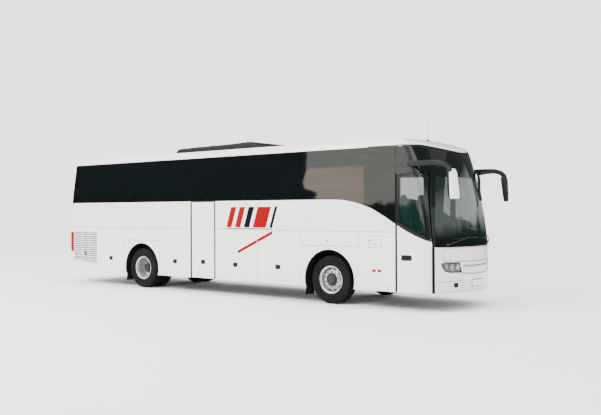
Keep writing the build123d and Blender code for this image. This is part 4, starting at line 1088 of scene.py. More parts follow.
def arches():
    """Rubber lips round the wheel arches, mud flaps behind the wheels, and inner liners."""
    for s, name in ((-1, "right"), (1, "left")):
        for X, tag in ((0.0, "front"), (-6.080, "rear")):
            pc = Piece("arch_%s_%s" % (tag, name), "black_rubber")
            R = 0.645
            rows = []
            a0 = math.asin((0.372 - AZ) / R)
            n = 56
            for i in range(n + 1):
                a = a0 + (math.pi - 2 * a0) * i / n
                c, sn = math.cos(a), math.sin(a)

                def q(r, o):
                    return Vector((X + FA + r * c, s * (HALF + o), AZ + r * sn))
                rows.append([q(R + 0.006, 0.0002), q(R + 0.004, 0.0022), q(R - 0.004, 0.0024), q(R - 0.007, -0.002), q(R - 0.007, -0.060), q(R - 0.0005, -0.060)])
            pc.grid(rows, 0, close_v=True, caps=True)
            # liner: a shallow shell in the housing, from the arch's edge inwards
            rows = []
            for i in range(n + 1):
                a = a0 + (math.pi - 2 * a0) * i / n
                c, sn = math.cos(a), math.sin(a)
                rows.append([Vector((X + FA + (R + 0.003) * c, s * (HALF - 0.052), AZ + (R + 0.003) * sn)),
                             Vector((X + FA + (R + 0.012) * c, s * (HALF - 0.20), AZ + (R + 0.012) * sn)),
                             Vector((X + FA + (R + 0.012) * c, s * (HALF - 0.62), AZ + (R + 0.012) * sn))])
            pc.grid(rows, 0)
            pc.done(ROOT, angle=40)
            # mud flap behind the wheel
            fl = Piece("mud_flap_%s_%s" % (tag, name), "black_rubber")
            x = X + FA - 0.655
            y0, y1 = (0.915, 1.222) if tag == "front" else (0.62, 1.222)
            rows = []
            for i in range(13):
                z = 0.16 + 0.34 * i / 12
                b = 0.010 * math.sin(i * 0.9)
                bend = -0.035 * (1 - i / 12.0) ** 2
                rows.append([Vector((x + bend + b * 0.2, s * y0, z)), Vector((x + bend, s * (y0 + y1) / 2, z)), Vector((x + bend - b * 0.2, s * y1, z)),
                             Vector((x + bend + 0.008, s * y1, z)), Vector((x + bend + 0.008, s * (y0 + y1) / 2, z)), Vector((x + bend + 0.008, s * y0, z))])
            fl.grid(rows, 0, close_v=True, caps=True)
            fl.box((x - 0.006, s * y0, 0.485), (x + 0.014, s * y1, 0.515), 0, r=0.003)
            fl.done(ROOT, angle=40)


arches()


# ----------------------------------------------------------- nose details
def nose_details():
    def nz(y, z):
        return nose(y, z)

    # headlamps: dark bowl, chrome reflectors, indicator and a clear cover
    for s, tag in ((-1, "right"), (1, "left")):
        pc = Piece("headlamp_inside_" + tag, "lamp_bowl", "chrome", "white_lens", "amber_lens", "black_matt")

        def lamp(u, v, s=s, back=0.0):
            # outline rows from inner to outer edge, bottom to top
            y = 0.600 + u * 0.425
            zb = 0.780 + max(0.0, (y - 0.87)) ** 1.5 * 1.5
            zt = 0.958
            yy = min(y, 1.035)
            p, n = nose(s * yy, zb + (zt - zb) * v)
            return p - Vector((1, 0, 0)) * back, n
        # the sill round the lamp, dark
        edge = [(0.583, 0.778), (0.868, 0.778), (0.976, 0.808), (1.037, 0.903), (1.037, 0.958), (0.645, 0.958), (0.583, 0.778)]
        pc.ribbon(along(lambda y, z, s=s: nose(s * y, z), edge, 0.03), 0.024, 4, lift=0.0018, depth=0.02)
        # two round reflectors with bulbs' glass, and a small one for the indicator
        for cy, cz, r, m in ((0.700, 0.866, 0.070, 2), (0.842, 0.868, 0.066, 1), (0.958, 0.900, 0.040, 3)):
            c, n = nose(s * cy, cz)
            rows = []
            for (rr, o) in ((r, 0.0005), (r * 0.97, -0.004), (r * 0.90, -0.016), (r * 0.66, -0.030), (r * 0.40, -0.036), (r * 0.38, -0.012), (r * 0.28, -0.007), (0.001, -0.005)):
                row = []
                for i in range(40):
                    a = 2 * math.pi * i / 40
                    yy, zz = cy + rr * math.cos(a), cz + rr * math.sin(a)
                    p, q = nose(s * yy, zz)
                    row.append(p + Vector((o, 0, 0)))
                rows.append(row)
            pc.grid(rows[:6], 1, close_v=True)
            pc.grid(rows[5:], m, close_v=True)
        # fluted bowl between them
        rows = []
        for i in range(47):
            u = i / 46
            row = []
            for j in range(9):
                p, n = lamp(u, j / 8, back=0.024 if i % 2 else 0.030)
                row.append(p)
            rows.append(row)
        pc.grid(rows, 0)
        pc.done(ROOT, angle=50)

    # strip of the grille: a shallow dished band with two dark slots, its badge place bare
    pc = Piece("nose_grille_strip", "white_nose_painted_shade", "grille_dark", "seam")
    ys = [-0.545 + 1.09 * i / 60 for i in range(61)]

    def zup(y):
        return 0.903 - 0.010 * (1 - abs(y) / 0.545)

    def zlo(y):
        return 0.758 - 0.034 * (1 - (abs(y) / 0.545) ** 2)
    # lips above and below each slot
    for zf, h in ((zup, 0.019), (zlo, 0.016)):
        smp = [nose(y, zf(y)) for y in ys]
        pc.ribbon(smp, h, 1, lift=0.0014, depth=0.008)
        smp = [nose(y, zf(y) - h * 0.9) for y in ys]
        pc.ribbon(smp, 0.009, 0, lift=0.0040, depth=0.004)
    smp = [nose(y, 0.872 - 0.004 * (1 - abs(y) / 0.545)) for y in ys]
    pc.ribbon(smp, 0.010, 1, lift=0.0012, depth=0.006)
    # bare round place for a badge
    c, n = nose(0.0, 0.820)
    rows = []
    for r, o in ((0.052, -0.002), (0.052, 0.003), (0.049, 0.0052), (0.043, 0.0052), (0.041, 0.0035), (0.001, 0.0042)):
        rows.append([nose(r * math.cos(2 * math.pi * i / 48), 0.820 + r * math.sin(2 * math.pi * i / 48))[0] + Vector((o, 0, 0)) for i in range(48)])
    pc.grid(rows[:5], 0, close_v=True)
    pc.grid(rows[4:], 0, close_v=True)
    pc.done(ROOT, angle=50)

    # bumper: seams, plate with frame, rubber strip, tow lid on the left
    pc = Piece("bumper_details", "seam", "black_matt", "plate", "white_nose_painted_shade")
    pc.ribbon(along(nz, [(-1.14, 0.588), (-0.90, 0.596), (-0.535, 0.612)], 0.04), 0.008, 0, lift=0.0012, depth=0.006)
    pc.ribbon(along(nz, [(1.14, 0.588), (0.90, 0.596), (0.535, 0.612)], 0.04), 0.008, 0, lift=0.0012, depth=0.006)
    for s in (-1, 1):
        pc.ribbon(along(nz, [(s * 0.550, 0.612), (s * 0.550, 0.762)], 0.03), 0.007, 0, lift=0.0012, depth=0.006)
        pc.ribbon(along(nz, [(s * 0.550, 0.380), (s * 0.550, 0.600)], 0.03), 0.005, 0, lift=0.0009, depth=0.004)
        pc.ribbon(along(nz, [(s * 0.550, 0.762), (s * 0.640, 0.762)], 0.03), 0.005, 0, lift=0.0009, depth=0.004)
    # plate, bare, in a dark frame
    pc.patch(lambda u, v: nose(-0.268 + 0.536 * u, 0.468 + 0.138 * v), 16, 4, 1, lift=0.0050, depth=0.004)
    pc.patch(lambda u, v: nose(-0.257 + 0.514 * u, 0.481 + 0.112 * v), 16, 4, 2, lift=0.0072, depth=0.002)
    for yb in (-0.17, 0.17):
        rows = [[nose(yb + r * math.cos(k), 0.537 + r * math.sin(k))[0] + Vector((o, 0, 0)) for k in [2 * math.pi * i / 12 for i in range(12)]]
                for r, o in ((0.006, 0.006), (0.006, 0.0085), (0.004, 0.0095), (0.001, 0.0095))]
        pc.grid(rows, 0, close_v=True)
    # lip under the bumper
    for zz, w, m in ((0.402, 0.006, 0),):
        pc.ribbon([nose(y, zz) for y in [-1.10 + 2.2 * i / 60 for i in range(61)]], w, m, lift=0.0010, depth=0.004)
    pc.done(ROOT, angle=50)

    # opening with its frame on the right, closed by a lid on the left
    pc = Piece("tow_opening_frame", "white_nose_painted_shade", "black_matt", "grey_plastic")
    y0, y1, z0, z1 = -0.783, -0.684, 0.475, 0.565
    ring = []
    pts = [(y0, z0), (y1, z0), (y1, z1), (y0, z1), (y0, z0)]
    pc.ribbon([(p + Vector((0.0, 0, 0)), n) for p, n in along(lambda y, z: nose(y, z), [(y0 - .006, z0 - .006), (y1 + .006, z0 - .006), (y1 + .006, z1 + .006),
                                                                                   (y0 - .006, z1 + .006), (y0 - .006, z0 - .006)], 0.02)], 0.010, 0, lift=0.003, depth=0.02)
    # liner of the recess, in black: painted shade for the inside of the opening
    rows = []
    for off in (0.004, -0.020, -0.050, -0.060):
        row = []
        for a, b in ((y0, z0), (y1, z0), (y1, z1), (y0, z1)):
            p, n = nose(a - 0.008 if a == y0 else a + 0.008, b)
            row.append(Vector((p.x + off, a + (0.001 if a == y0 else -0.001), b + (0.001 if b == z0 else -0.001))))
        rows.append(row)
    pc.grid(rows, 1, close_v=True)
    # dark block at the recess's inner side: painted shade, set where the opening's inside is in shade
    p, n = nose(y1 + 0.01, 0.52)
    pc.box((p.x - 0.055, y1 - 0.030, z0 + 0.025), (p.x - 0.030, y1 - 0.004, z1 - 0.025), 1, r=0.008)
    pc.patch(lambda u, v: nose(0.690 + 0.086 * u, 0.482 + 0.076 * v), 6, 6, 0, lift=0.003, depth=0.004)
    pc.done(ROOT, angle=50)

    # front service flap: handle hints and hinge line
    pc = Piece("front_flap_trim", "seam", "black_matt")
    pc.ribbon([nose(y, 0.990) for y in [-0.99 + 1.98 * i / 60 for i in range(61)]], 0.006, 0, lift=0.0008, depth=0.004)
    for s in (-1, 1):
        rows = [[nose(s * 0.86 + r * math.cos(k), 1.020 + r * math.sin(k))[0] + Vector((o, 0, 0)) for k in [2 * math.pi * i / 20 for i in range(20)]]
                for r, o in ((0.013, 0.0), (0.013, 0.002), (0.010, 0.003), (0.004, 0.003), (0.0035, 0.001), (0.0005, 0.001))]
        pc.grid(rows, 0, close_v=True)
    pc.done(ROOT, angle=50)

    # rubber round the windscreen
    pc = Piece("windscreen_rubber", "black_rubber", "black_gloss")
    ys = [-1.13 + 2.26 * i / 70 for i in range(71)]
    pc.ribbon([nose(y, 1.279) for y in ys], 0.016, 0, lift=0.003, depth=0.006)
    pc.done(ROOT, angle=50)

    # wipers: two arms pivoted at the foot, blades parked along the screen's foot
    for name, py, ty, tz, by0, bz0, by1, bz1 in (("wiper_right", -0.92, -0.36, 1.475, -0.78, 1.425, 0.06, 1.455), ("wiper_left", 0.98, 0.52, 1.475, 0.10, 1.430, 0.98, 1.455)):
        pc = Piece(name, "black_matt", "hub", "black_rubber")
        p0, n0 = nose(py, 1.325)
        m = Matrix.Translation(p0) @ n0.to_track_quat("Z", "Y").to_matrix().to_4x4()
        rows = [[m @ Vector((r * math.cos(k), r * math.sin(k), o)) for k in [2 * math.pi * i / 24 for i in range(24)]]
                for r, o in ((0.026, -0.004), (0.026, 0.014), (0.020, 0.024), (0.010, 0.028), (0.001, 0.028))]
        pc.grid(rows, 0, close_v=True)
        arm = []
        for i in range(13):
            t = i / 12
            q, n = nose(py + (ty - py) * t, 1.325 + (tz - 1.325) * t)
            arm.append(q + n * (0.022 + 0.012 * math.sin(math.pi * t)))
        pc.tube(arm, [0.013 - 0.005 * i / 12 for i in range(13)], 10, 0, flat=0.7, up=Vector((1, 0, 0)))
        bl = []
        for i in range(25):
            t = i / 24
            q, n = nose(by0 + (by1 - by0) * t, bz0 + (bz1 - bz0) * t + 0.012 * math.sin(math.pi * t))
            bl.append((q, n))
        pc.ribbon([(q + n * 0.010, n) for q, n in bl], 0.012, 2, lift=0.004, depth=0.009)
        pc.tube([q + n * 0.018 for q, n in bl[3:-3]], 0.0055, 8, 0, up=Vector((1, 0, 0)))
        for i in (5, 12, 19):
            q, n = bl[i]
            pc.box((q + n * 0.016) - Vector((0.008, 0.012, 0.008)), (q + n * 0.016) + Vector((0.010, 0.012, 0.008)), 0, r=0.003)
        pc.done(ROOT, angle=45)


M["lamp_bowl"] = varied("lamp_bowl_grey", lin(86, 88, 90), lin(140, 143, 146), 0.3, scale=30, metallic=0.6, bump_scale=120, bump_strength=0.3)
M["grille_dark"] = varied("grille_slot_shadow", lin(44, 44, 44), lin(62, 61, 60), 0.7, scale=8)
nose_details()


# ---------------------------------------------------------------- mirrors
def mirror(tag, s, yc, drop):
    """Arm and head of one mirror: s is the side, yc the head's middle, drop how far it hangs lower."""
    pc = Piece("mirror_" + tag + "_shell", "mirror_arm", "white", "mirror", "black_gloss", "black_rubber")
    x = lambda X: X + FA
    # arm: a flat blade that runs forward along the cant rail and arches down to the head
    path = [(1.955, 2.930), (2.10, 2.930), (2.30, 2.932), (2.50, 2.934), (2.62, 2.928), (2.72, 2.906), (2.80, 2.868), (2.850, 2.815), (2.872, 2.765)]
    pts = [Vector((x(a), s * 1.297, b - drop)) for a, b in path]
    rows = []
    hh = [0.052, 0.056, 0.054, 0.050, 0.050, 0.050, 0.050, 0.050, 0.046]
    for i, p in enumerate(pts):
        t = (pts[min(i + 1, len(pts) - 1)] - pts[max(i - 1, 0)]).normalized()
        w = Vector((-t.z, 0, t.x))
        row = []
        for k in range(20):
            a = 2 * math.pi * k / 20
            c, sn = math.cos(a), math.sin(a)
            row.append(p + w * (hh[i] * math.copysign(abs(sn) ** 0.7, sn)) + Vector((0, 1, 0)) * (0.0195 * math.copysign(abs(c) ** 0.6, c)))
        rows.append(row)
    pc.grid(rows, 0, close_v=True, caps=True)
    # foot: points for a fairing that would join the arm to the body side; nothing is built from them
    f = []
    for X, z, y, r in ((1.955, 2.930, 1.297, 0.055), (2.02, 2.915, 1.262, 0.050), (2.07, 2.900, 1.225, 0.046)):
        f.append((Vector((x(X), s * y, z - drop)), r))
    # head: slanting housing, deep curved back forward, rim and glass behind
    z1, z0 = 2.800 - drop, 2.225 - drop / 2
    n = 28
    shell, rim_o, rim_i = [], [], []
    half_w = 0.131 if s < 0 else 0.062
    SH = -0.030 if s < 0 else 0.004

    def width(t):
        if s < 0:
            return half_w * (0.66 + 0.34 * min(1.0, max(0.0, t)) ** 0.6)
        return half_w * (0.90 - 0.30 * min(1.0, max(0.0, t)) ** 2)

    def rear_x(t):
        return 2.826 + (0.020 if s < 0 else 0.062) * t
    for j in range(n + 1):
        t = j / n
        z = z1 + (z0 - z1) * t
        # the head tapers at both ends
        k = min(1.0, (0.30 + 4.2 * t) if t < 0.18 else 1.0, (0.42 + 4.0 * (1 - t)) if t > 0.86 else 1.0)
        k = 1 - (1 - k) ** 2
        w = width(t) * (0.45 + 0.55 * k)
        deep = (0.118 + 0.026 * t if s < 0 else 0.118 - 0.040 * t) * (0.55 + 0.45 * k)
        shift = s * SH * (t - 0.5)
        xr = rear_x(t)
        row = []
        for i in range(25):
            a = math.pi * i / 24
            row.append(Vector((x(xr + deep * math.sin(a) ** 0.45), s * yc + shift - s * w * math.copysign(abs(math.cos(a)) ** 0.6, math.cos(a)), z)))
        shell.append(row)
        rim_o.append((xr, w, z, shift))
    # painted shade: the left head's housing takes the dark arm plastic where the right one takes the white paint, for
    # the shade its inner side sits in
    pc.grid(shell, 1 if s < 0 else 0, recalc=True)
    # black rim along the edge of the housing
    def loop(scale_w, dx, inset):
        pts = []
        for xr, w, z, sh in rim_o:
            pts.append(Vector((x(xr + dx), s * yc + sh - s * (w + scale_w), z)))
        for xr, w, z, sh in reversed(rim_o):
            pts.append(Vector((x(xr + dx), s * yc + sh + s * (w + scale_w), z)))
        m = Vector((0, 0, (z0 + z1) / 2))
        out = []
        for p in pts:
            q = p.copy()
            q.z = m.z + (p.z - m.z) * (1.0 - inset)
            out.append(q)
        return out
    rr = [loop(-0.002, 0.030, 0.0), loop(0.0035, 0.022, -0.005), loop(0.0035, -0.010, -0.005), loop(0.000, -0.0155, 0.0), loop(-0.010, -0.0155, 0.03), loop(-0.013, -0.010, 0.04)]
    pc.grid(rr, 3, close_v=True)
    # glass: a main pane over a small wide-angle one
    mid = 0.66
    for za, zb, cx in ((z1 - 0.045, z1 + (z0 - z1) * mid, 0.0), (z1 + (z0 - z1) * (mid + 0.03), z0 + 0.030, 0.010)):
        rows = []
        for j in range(13):
            z = za + (zb - za) * j / 12
            t = (z - z1) / (z0 - z1)
            w = width(t) - 0.016
            row = []
            for i in range(13):
                v = i / 12 * 2 - 1
                bulge = -cx * (1 - v * v) * (1 - (2 * j / 12 - 1) ** 2)
                row.append(Vector((x(rear_x(t) - 0.012 + bulge), s * yc + s * SH * (t - 0.5) + v * w, z)))
            rows.append(row)
        pc.grid(rows, 2)
    # backing of the glass
    rows = []
    for j in range(13):
        z = z1 - 0.02 + (z0 + 0.04 - z1) * j / 12
        t = (z - z1) / (z0 - z1)
        w = width(t) - 0.006
        rows.append([Vector((x(rear_x(t) - 0.006), s * yc + s * SH * (t - 0.5) + (i / 6 * 2 - 1) * w, z)) for i in range(7)])
    pc.grid(rows, 4)
    # heater cable boot and joint under the arm's end
    pc.box((x(2.835), s * 1.297 - 0.026, 2.742 - drop), (x(2.905), s * 1.297 + 0.026, 2.800 - drop), 0, r=0.014, seg=3)
    if s > 0:
        # dark blade from the arm's root down along the screen's edge
        pts = []
        for i in range(15):
            t = i / 14
            yy = 0.965 - 0.500 * min(1.0, t / 0.50) ** 0.55 + 0.08 * max(0.0, t - 0.55)
            q, nr = nose(yy, 2.860 - 0.66 * t)
            pts.append(q + nr * (0.020 + 0.035 * math.sin(math.pi * min(1.0, t * 1.3 + 0.1))))
        pc.tube(pts, [0.030 + 0.014 * math.sin(math.pi * min(1, i / 14)) for i in range(15)], 12, 0, flat=0.6, up=Vector((0, 1, 0)))
        # root of the arm on the pillar
        pc.tube([Vector((x(2.62), s * 1.28, 2.915 - drop)), Vector((x(2.50), s * 1.12, 2.890 - drop)), Vector((x(2.42), s * 0.98, 2.870 - drop))], [0.036, 0.034, 0.040], 12, 0)
    ob = pc.done(ROOT, angle=40, replaces=("mirror_" + tag,))
    return ob


mirror("right", -1, 1.190, 0.0)
mirror("left", 1, 1.250, 0.070)


# ------------------------------------------------------------------- roof
def roof_unit():
    pc = Piece("roof_unit_shell", "ac_shell", "black_matt", "grey_plastic", "hub")
    prof = [(-5.222, 3.470), (-5.212, 3.560), (-5.195, 3.598), (-5.150, 3.622), (-5.080, 3.636), (-4.50, 3.643), (-3.90, 3.652), (-3.300, 3.661), (-2.95, 3.677),
            (-2.780, 3.683), (-2.66, 3.676), (-2.56, 3.648), (-2.43, 3.588), (-2.30, 3.542), (-2.15, 3.522), (-2.062, 3.514), (-2.045, 3.505)]
    rows = []
    for X, z in prof:
        row = []
        for i in range(41):
            v = i / 40 * 2 - 1
            k = abs(v)
            y = 0.845 * (math.copysign(min(1.0, k * 1.06), v))
            base = 3.499 + 0.020 * (1 - k)
            edge = 1.0 if k < 0.86 else max(0.0, 1 - ((k - 0.86) / 0.14) ** 2.4)
            row.append(Vector((X + FA, y, base - 0.004 + (z - base) * edge)))
        rows.append(row)
    pc.grid(rows, 0)
    # long louvres down both sides
    for s in (-1, 1):
        for k in range(9):
            X0 = -4.98 + k * 0.235
            pc.box((X0 + FA, s * 0.772, 3.535), (X0 + 0.200 + FA, s * 0.800, 3.548), 1, r=0.003)
        for k, z in enumerate((3.536, 3.556, 3.576, 3.596)):
            pts = [Vector((X + FA, s * (0.822 - 0.016 * k), min(z, 3.5 + (3.60 - 3.5) * 1.0))) for X in (-5.12, -4.5, -3.9, -3.3, -2.9)]
            pc.tube(pts, 0.0060, 8, 1)
    # two evaporator grilles and three condenser fans on top
    for cx in (-4.62, -3.94, -3.26):
        zt = 3.650 + (0.004 if cx > -4 else -0.004) + (0.006 if cx > -3.5 else 0.0)
        ringrows = []
        for r, o in ((0.262, -0.010), (0.262, 0.010), (0.254, 0.016), (0.236, 0.016), (0.228, 0.006), (0.226, -0.012)):
            ringrows.append([Vector((cx + FA + r * math.cos(a), r * math.sin(a), zt + o)) for a in [2 * math.pi * i / 56 for i in range(56)]])
        pc.grid(ringrows, 1, close_v=True)
        pc.grid([[Vector((cx + FA + r * math.cos(a), r * math.sin(a), zt + o)) for a in [2 * math.pi * i / 56 for i in range(56)]] for r, o in ((0.226, 0.0015), (0.001, 0.0015))], 3, close_v=True)
        for r in (0.052, 0.094, 0.136, 0.178, 0.216):
            pts = [Vector((cx + FA + r * math.cos(2 * math.pi * i / 48), r * math.sin(2 * math.pi * i / 48), zt + 0.012)) for i in range(49)]
            pc.tube(pts, 0.0035, 6, 1, cap=False)
        for i in range(8):
            a = math.pi * i / 8 + 0.2
            pc.tube([Vector((cx + FA - 0.228 * math.cos(a), -0.228 * math.sin(a), zt + 0.012)), Vector((cx + FA + 0.228 * math.cos(a), 0.228 * math.sin(a), zt + 0.012))], 0.0035, 6, 1)
        pc.grid([[Vector((cx + FA + r * math.cos(a), r * math.sin(a), zt + o)) for a in [2 * math.pi * i / 32 for i in range(32)]] for r, o in
                 ((0.046, 0.004), (0.046, 0.016), (0.036, 0.021), (0.001, 0.022))], 2, close_v=True)
        for s in (-1, 1):
            for k in range(7):
                y = s * (0.34 + k * 0.054)
                pc.tube([Vector((cx - 0.25 + FA, y, zt + 0.002)), Vector((cx + 0.25 + FA, y, zt + 0.002))], 0.008, 8, 1)
    # seams between its lids: the loop is empty and draws none
    for X in (-4.28, -3.60, -2.92):
        pass
    pc.done(ROOT, angle=35, replaces=("roof_ac_unit",))

    top = Piece("roof_fittings", "black_rubber", "white", "seam", "black_matt", "white_lens")

    def up(X, y):
        got = SKIN.ray_cast(Vector((X + FA, y, 4.5)), Vector((0, 0, -1)))
        return got[0].copy(), got[1].copy()
    # long rain rails and the sheets' joints
    for s in (-1, 1):
        smp = [up(X, s * 0.360) for X in [-9.0 + 10.2 * i / 60 for i in range(61)]]
        top.ribbon(smp, 0.026, 2, lift=0.0018, depth=0.003)
        smp = [up(X, s * 1.155) for X in [-8.95 + 10.8 * i / 70 for i in range(71)]]
        top.ribbon(smp, 0.018, 1, lift=0.010, depth=0.003)
    smp = [up(1.25, -1.10 + 2.2 * i / 30) for i in range(31)]
    top.ribbon(smp, 0.022, 2, lift=0.0018, depth=0.003)
    # two roof hatches with rounded lids
    for cx in (-7.15, -0.65):
        rows = []
        for w, o in ((0.400, -0.004), (0.400, 0.018), (0.386, 0.030), (0.372, 0.032), (0.366, 0.026), (0.340, 0.040), (0.200, 0.047), (0.002, 0.049)):
            row = []
            for i in range(48):
                a = 2 * math.pi * i / 48
                c, sn = math.cos(a), math.sin(a)
                k = 1.0 / (abs(c) ** 7 + abs(sn) ** 7) ** (1 / 7)
                x, y = cx + w * c * k, w * 0.86 * sn * k
                p, n = up(max(-9.0, x), y)
                row.append(p + Vector((0, 0, o)))
            rows.append(row)
        top.grid(rows[:5], 3, close_v=True)
        top.grid(rows[4:], 1, close_v=True)
    # foot of the antenna
    p, n = up(1.70, 0.0)
    rows = [[Vector((p.x + r * math.cos(a), r * math.sin(a), p.z + o)) for a in [2 * math.pi * i / 28 for i in range(28)]] for r, o in
            ((0.044, -0.006), (0.043, 0.004), (0.036, 0.012), (0.030, 0.016), (0.0275, 0.018))]
    top.grid(rows, 0, close_v=True)
    top.done(ROOT, angle=40)


roof_unit()
dress("antenna", "black_matt")


# ------------------------------------------------------------------- rear
def rear_details():
    # tail lamp clusters wrap round each rear corner
    for s, tag in ((-1, "right"), (1, "left")):
        pc = Piece("tail_lamp_cluster_" + tag, "red_lens", "amber_lens", "white_lens", "black_rubber", "chrome", "red")
        def band(z0, z1, m, lift):
            rows = []
            for j in range(5):
                z = z0 + (z1 - z0) * j / 4
                row = []
                for i in range(25):
                    a = math.radians(12 + 66 * i / 24)      # 0 faces back, 90 faces the side
                    nx, ny = -math.cos(a), math.sin(a)
                    o = Vector((FA - 9.078, s * (HALF - 0.220), z))
                    d = Vector((nx, s * ny, 0))
                    got = SKIN.ray_cast(o + d * 0.8, -d)
                    p = got[0] if got[0] is not None else o + d * 0.22
                    edge = 0.0 if (j in (0, 4) or i in (0, 24)) else 1.0
                    row.append(p + d * (lift * edge + 0.0006))
                rows.append(row)
            pc.grid(rows, m)
        zs = [(0.878, 1.060, 0), (1.068, 1.186, 1), (1.194, 1.262, 2), (1.270, 1.422, 0)]
        for z0, z1, m in zs:
            band(z0, z1, m, 0.006)
        for z in (0.872, 1.064, 1.190, 1.266, 1.428):
            smp = []
            for i in range(25):
                a = math.radians(10 + 70 * i / 24)
                d = Vector((-math.cos(a), s * math.sin(a), 0))
                o = Vector((FA - 9.078, s * (HALF - 0.220), z))
                got = SKIN.ray_cast(o + d * 0.8, -d)
                p = got[0] if got[0] is not None else o + d * 0.22
                smp.append((p, d))
            pc.ribbon(smp, 0.008, 3, lift=0.0035, depth=0.004)
        # plain red outer lens that wraps on to the side
        run = [math.radians(56 + 34 * i / 12) for i in range(13)]
        rows = []
        for z, f in ((0.878, 0.0), (0.884, 1.0), (1.416, 1.0), (1.422, 0.0)):
            row = []
            for a in run:
                d = Vector((-math.cos(a), s * math.sin(a), 0))
                o = Vector((FA - 9.078, s * (HALF - 0.220), z))
                got = SKIN.ray_cast(o + d * 0.8, -d)
                row.append((got[0] if got[0] is not None else o + d * 0.22) + d * (0.0008 + 0.0082 * f))
            row.append(Vector((FA - 9.040, s * (HALF + 0.0008 + 0.0082 * f), z)))
            row.append(Vector((FA - 9.026, s * (HALF + 0.0008), z)))
            rows.append(row)
        pc.grid(rows, 5)
        pc.done(ROOT, angle=45)

    pc = Piece("rear_trim", "black_rubber", "seam", "black_matt", "red_lens", "plate", "grille_dark", "white")
    # rubber round the rear window
    w = [(-1.0, 2.36), (-0.97, 2.335), (0.97, 2.335), (1.0, 2.36), (1.0, 3.15), (0.97, 3.175), (-0.97, 3.175), (-1.0, 3.15), (-1.0, 2.36)]
    pc.ribbon(along(lambda y, z: tail(y, z), w, 0.08), 0.022, 0, lift=0.004, depth=0.008)
    # high stop lamp over it
    pc.patch(lambda u, v: tail(-0.28 + 0.56 * u, 3.215 + 0.030 * v), 16, 3, 3, lift=0.007, depth=0.003)
    # seam between the tail panel and the roof
    pc.ribbon(along(tail, [(-1.05, 2.06), (1.05, 2.06)], 0.1), 0.006, 1, lift=0.0012, depth=0.004)
    # bumper line at both ends
    pc.ribbon(along(tail, [(-1.06, 0.795), (-0.965, 0.795)], 0.03), 0.006, 1, lift=0.0012, depth=0.004)
    pc.ribbon(along(tail, [(1.06, 0.795), (0.965, 0.795)], 0.03), 0.006, 1, lift=0.0012, depth=0.004)
    pc.done(ROOT, angle=45)

    # engine lid: two louvre fields, a grab recess, a plate place and a handle
    pc = Piece("engine_lid_trim", "black_matt", "grille_dark", "white", "plate", "seam", "red_lens", "nut")
    for y0, y1 in ((-0.86, -0.10), (0.10, 0.86)):
        for k in range(9):
            z = 1.36 + k * 0.042
            smp = along(tail, [(y0, z), (y1, z)], 0.06)
            pc.ribbon(smp, 0.017, 1, lift=0.0010, depth=0.004)
            smp = along(tail, [(y0, z + 0.012), (y1, z + 0.012)], 0.06)
            pc.ribbon(smp, 0.012, 2, lift=0.0075, depth=0.004)
    # plate recess in the middle
    pc.patch(lambda u, v: tail(-0.285 + 0.57 * u, 0.985 + 0.150 * v), 10, 4, 0, lift=0.004, depth=0.003)
    pc.patch(lambda u, v: tail(-0.260 + 0.52 * u, 1.004 + 0.112 * v), 10, 4, 3, lift=0.0065, depth=0.003)
    for y in (-0.12, 0.12):
        p, n = tail(y, 1.160)
        pc.box((p.x - 0.022, y - 0.035, 1.148), (p.x + 0.003, y + 0.035, 1.172), 0, r=0.006)
    # handle with two locks
    p, n = tail(0.0, 0.80)
    pc.box((p.x - 0.006, -0.085, 0.775), (p.x + 0.004, 0.085, 0.835), 0, r=0.0025)
    pc.box((p.x - 0.020, -0.060, 0.800), (p.x - 0.002, 0.060, 0.822), 0, r=0.006)
    for y in (-0.80, 0.80):
        p, n = tail(y, 0.80)
        rows = [[Vector((p.x - o, y + r * math.cos(a), 0.80 + r * math.sin(a))) for a in [2 * math.pi * i / 24 for i in range(24)]] for r, o in
                ((0.018, -0.001), (0.018, 0.003), (0.015, 0.005), (0.006, 0.005), (0.005, 0.003), (0.0005, 0.003))]
        pc.grid(rows, 6, close_v=True)
        pc.patch(lambda u, v, y=y: tail(y - 0.06 + 0.12 * u, 0.735 + 0.028 * v), 4, 2, 5, lift=0.006, depth=0.003)
    pc.ribbon(along(tail, [(-0.90, 1.315), (0.90, 1.315)], 0.1), 0.006, 4, lift=0.0010, depth=0.004)
    pc.done(BODY_OF["engine_lid"], angle=45)

    # exhaust tail pipe under the rear overhang, on the left
    pc = Piece("exhaust_pipe", "iron", "hub")
    y, z = 0.62, 0.735
    outer = [Vector((FA - 8.35, y, z + 0.07)), Vector((FA - 8.55, y, z + 0.055)), Vector((FA - 8.80, y, z - 0.005)), Vector((FA - 9.05, y, z - 0.020)), Vector((FA - 9.215, y, z - 0.022))]
    pc.tube(outer, 0.052, 28, 0, cap=False)
    pc.tube(outer[1:], 0.047, 28, 1, cap=False)
    pc.done(ROOT, angle=45)


rear_details()


# ----------------------------------------------------------------- inside
def cushion(pc, m, mat, size, crown=0.012, pull=0.05, nu=20, nv=14, channels=(), e=0.34):
    """A crowned closed pad: sides pull in between its corners, sewn channels run across it.
    mat places it; its own x runs along size[0], y along size[1], z is its thickness."""
    hx, hy, hz = size[0] / 2, size[1] / 2, size[2] / 2
    rows = []

    def sp(v, k):
        return math.copysign(abs(v) ** k, v)
    for i in range(nv + 1):
        ph = math.pi * (i / nv - 0.5)
        row = []
        for j in range(nu):
            th = 2 * math.pi * j / nu
            x = hx * sp(math.cos(ph), e) * sp(math.cos(th), e)
            y = hy * sp(math.cos(ph), e) * sp(math.sin(th), e)
            z = hz * sp(math.sin(ph), 0.62)
            qx, qy = x / hx, y / hy
            x *= 1 - pull * (1 - qy * qy)
            y *= 1 - pull * (1 - qx * qx)
            if z > 0:
                z += crown * (1 - qx * qx) * (1 - qy * qy)
                for c in channels:
                    z -= 0.010 * math.exp(-((qx - c) / 0.07) ** 2)
            row.append(Vector((x, y, z)))
        rows.append(row)
    pc.grid(rows, m, close_v=True, matrix=mat)


def seat_frame_of(x, y, z, tilt=0.0):
    return Matrix.Translation(Vector((x, y, z))) @ Matrix.Rotation(tilt, 4, "Y")


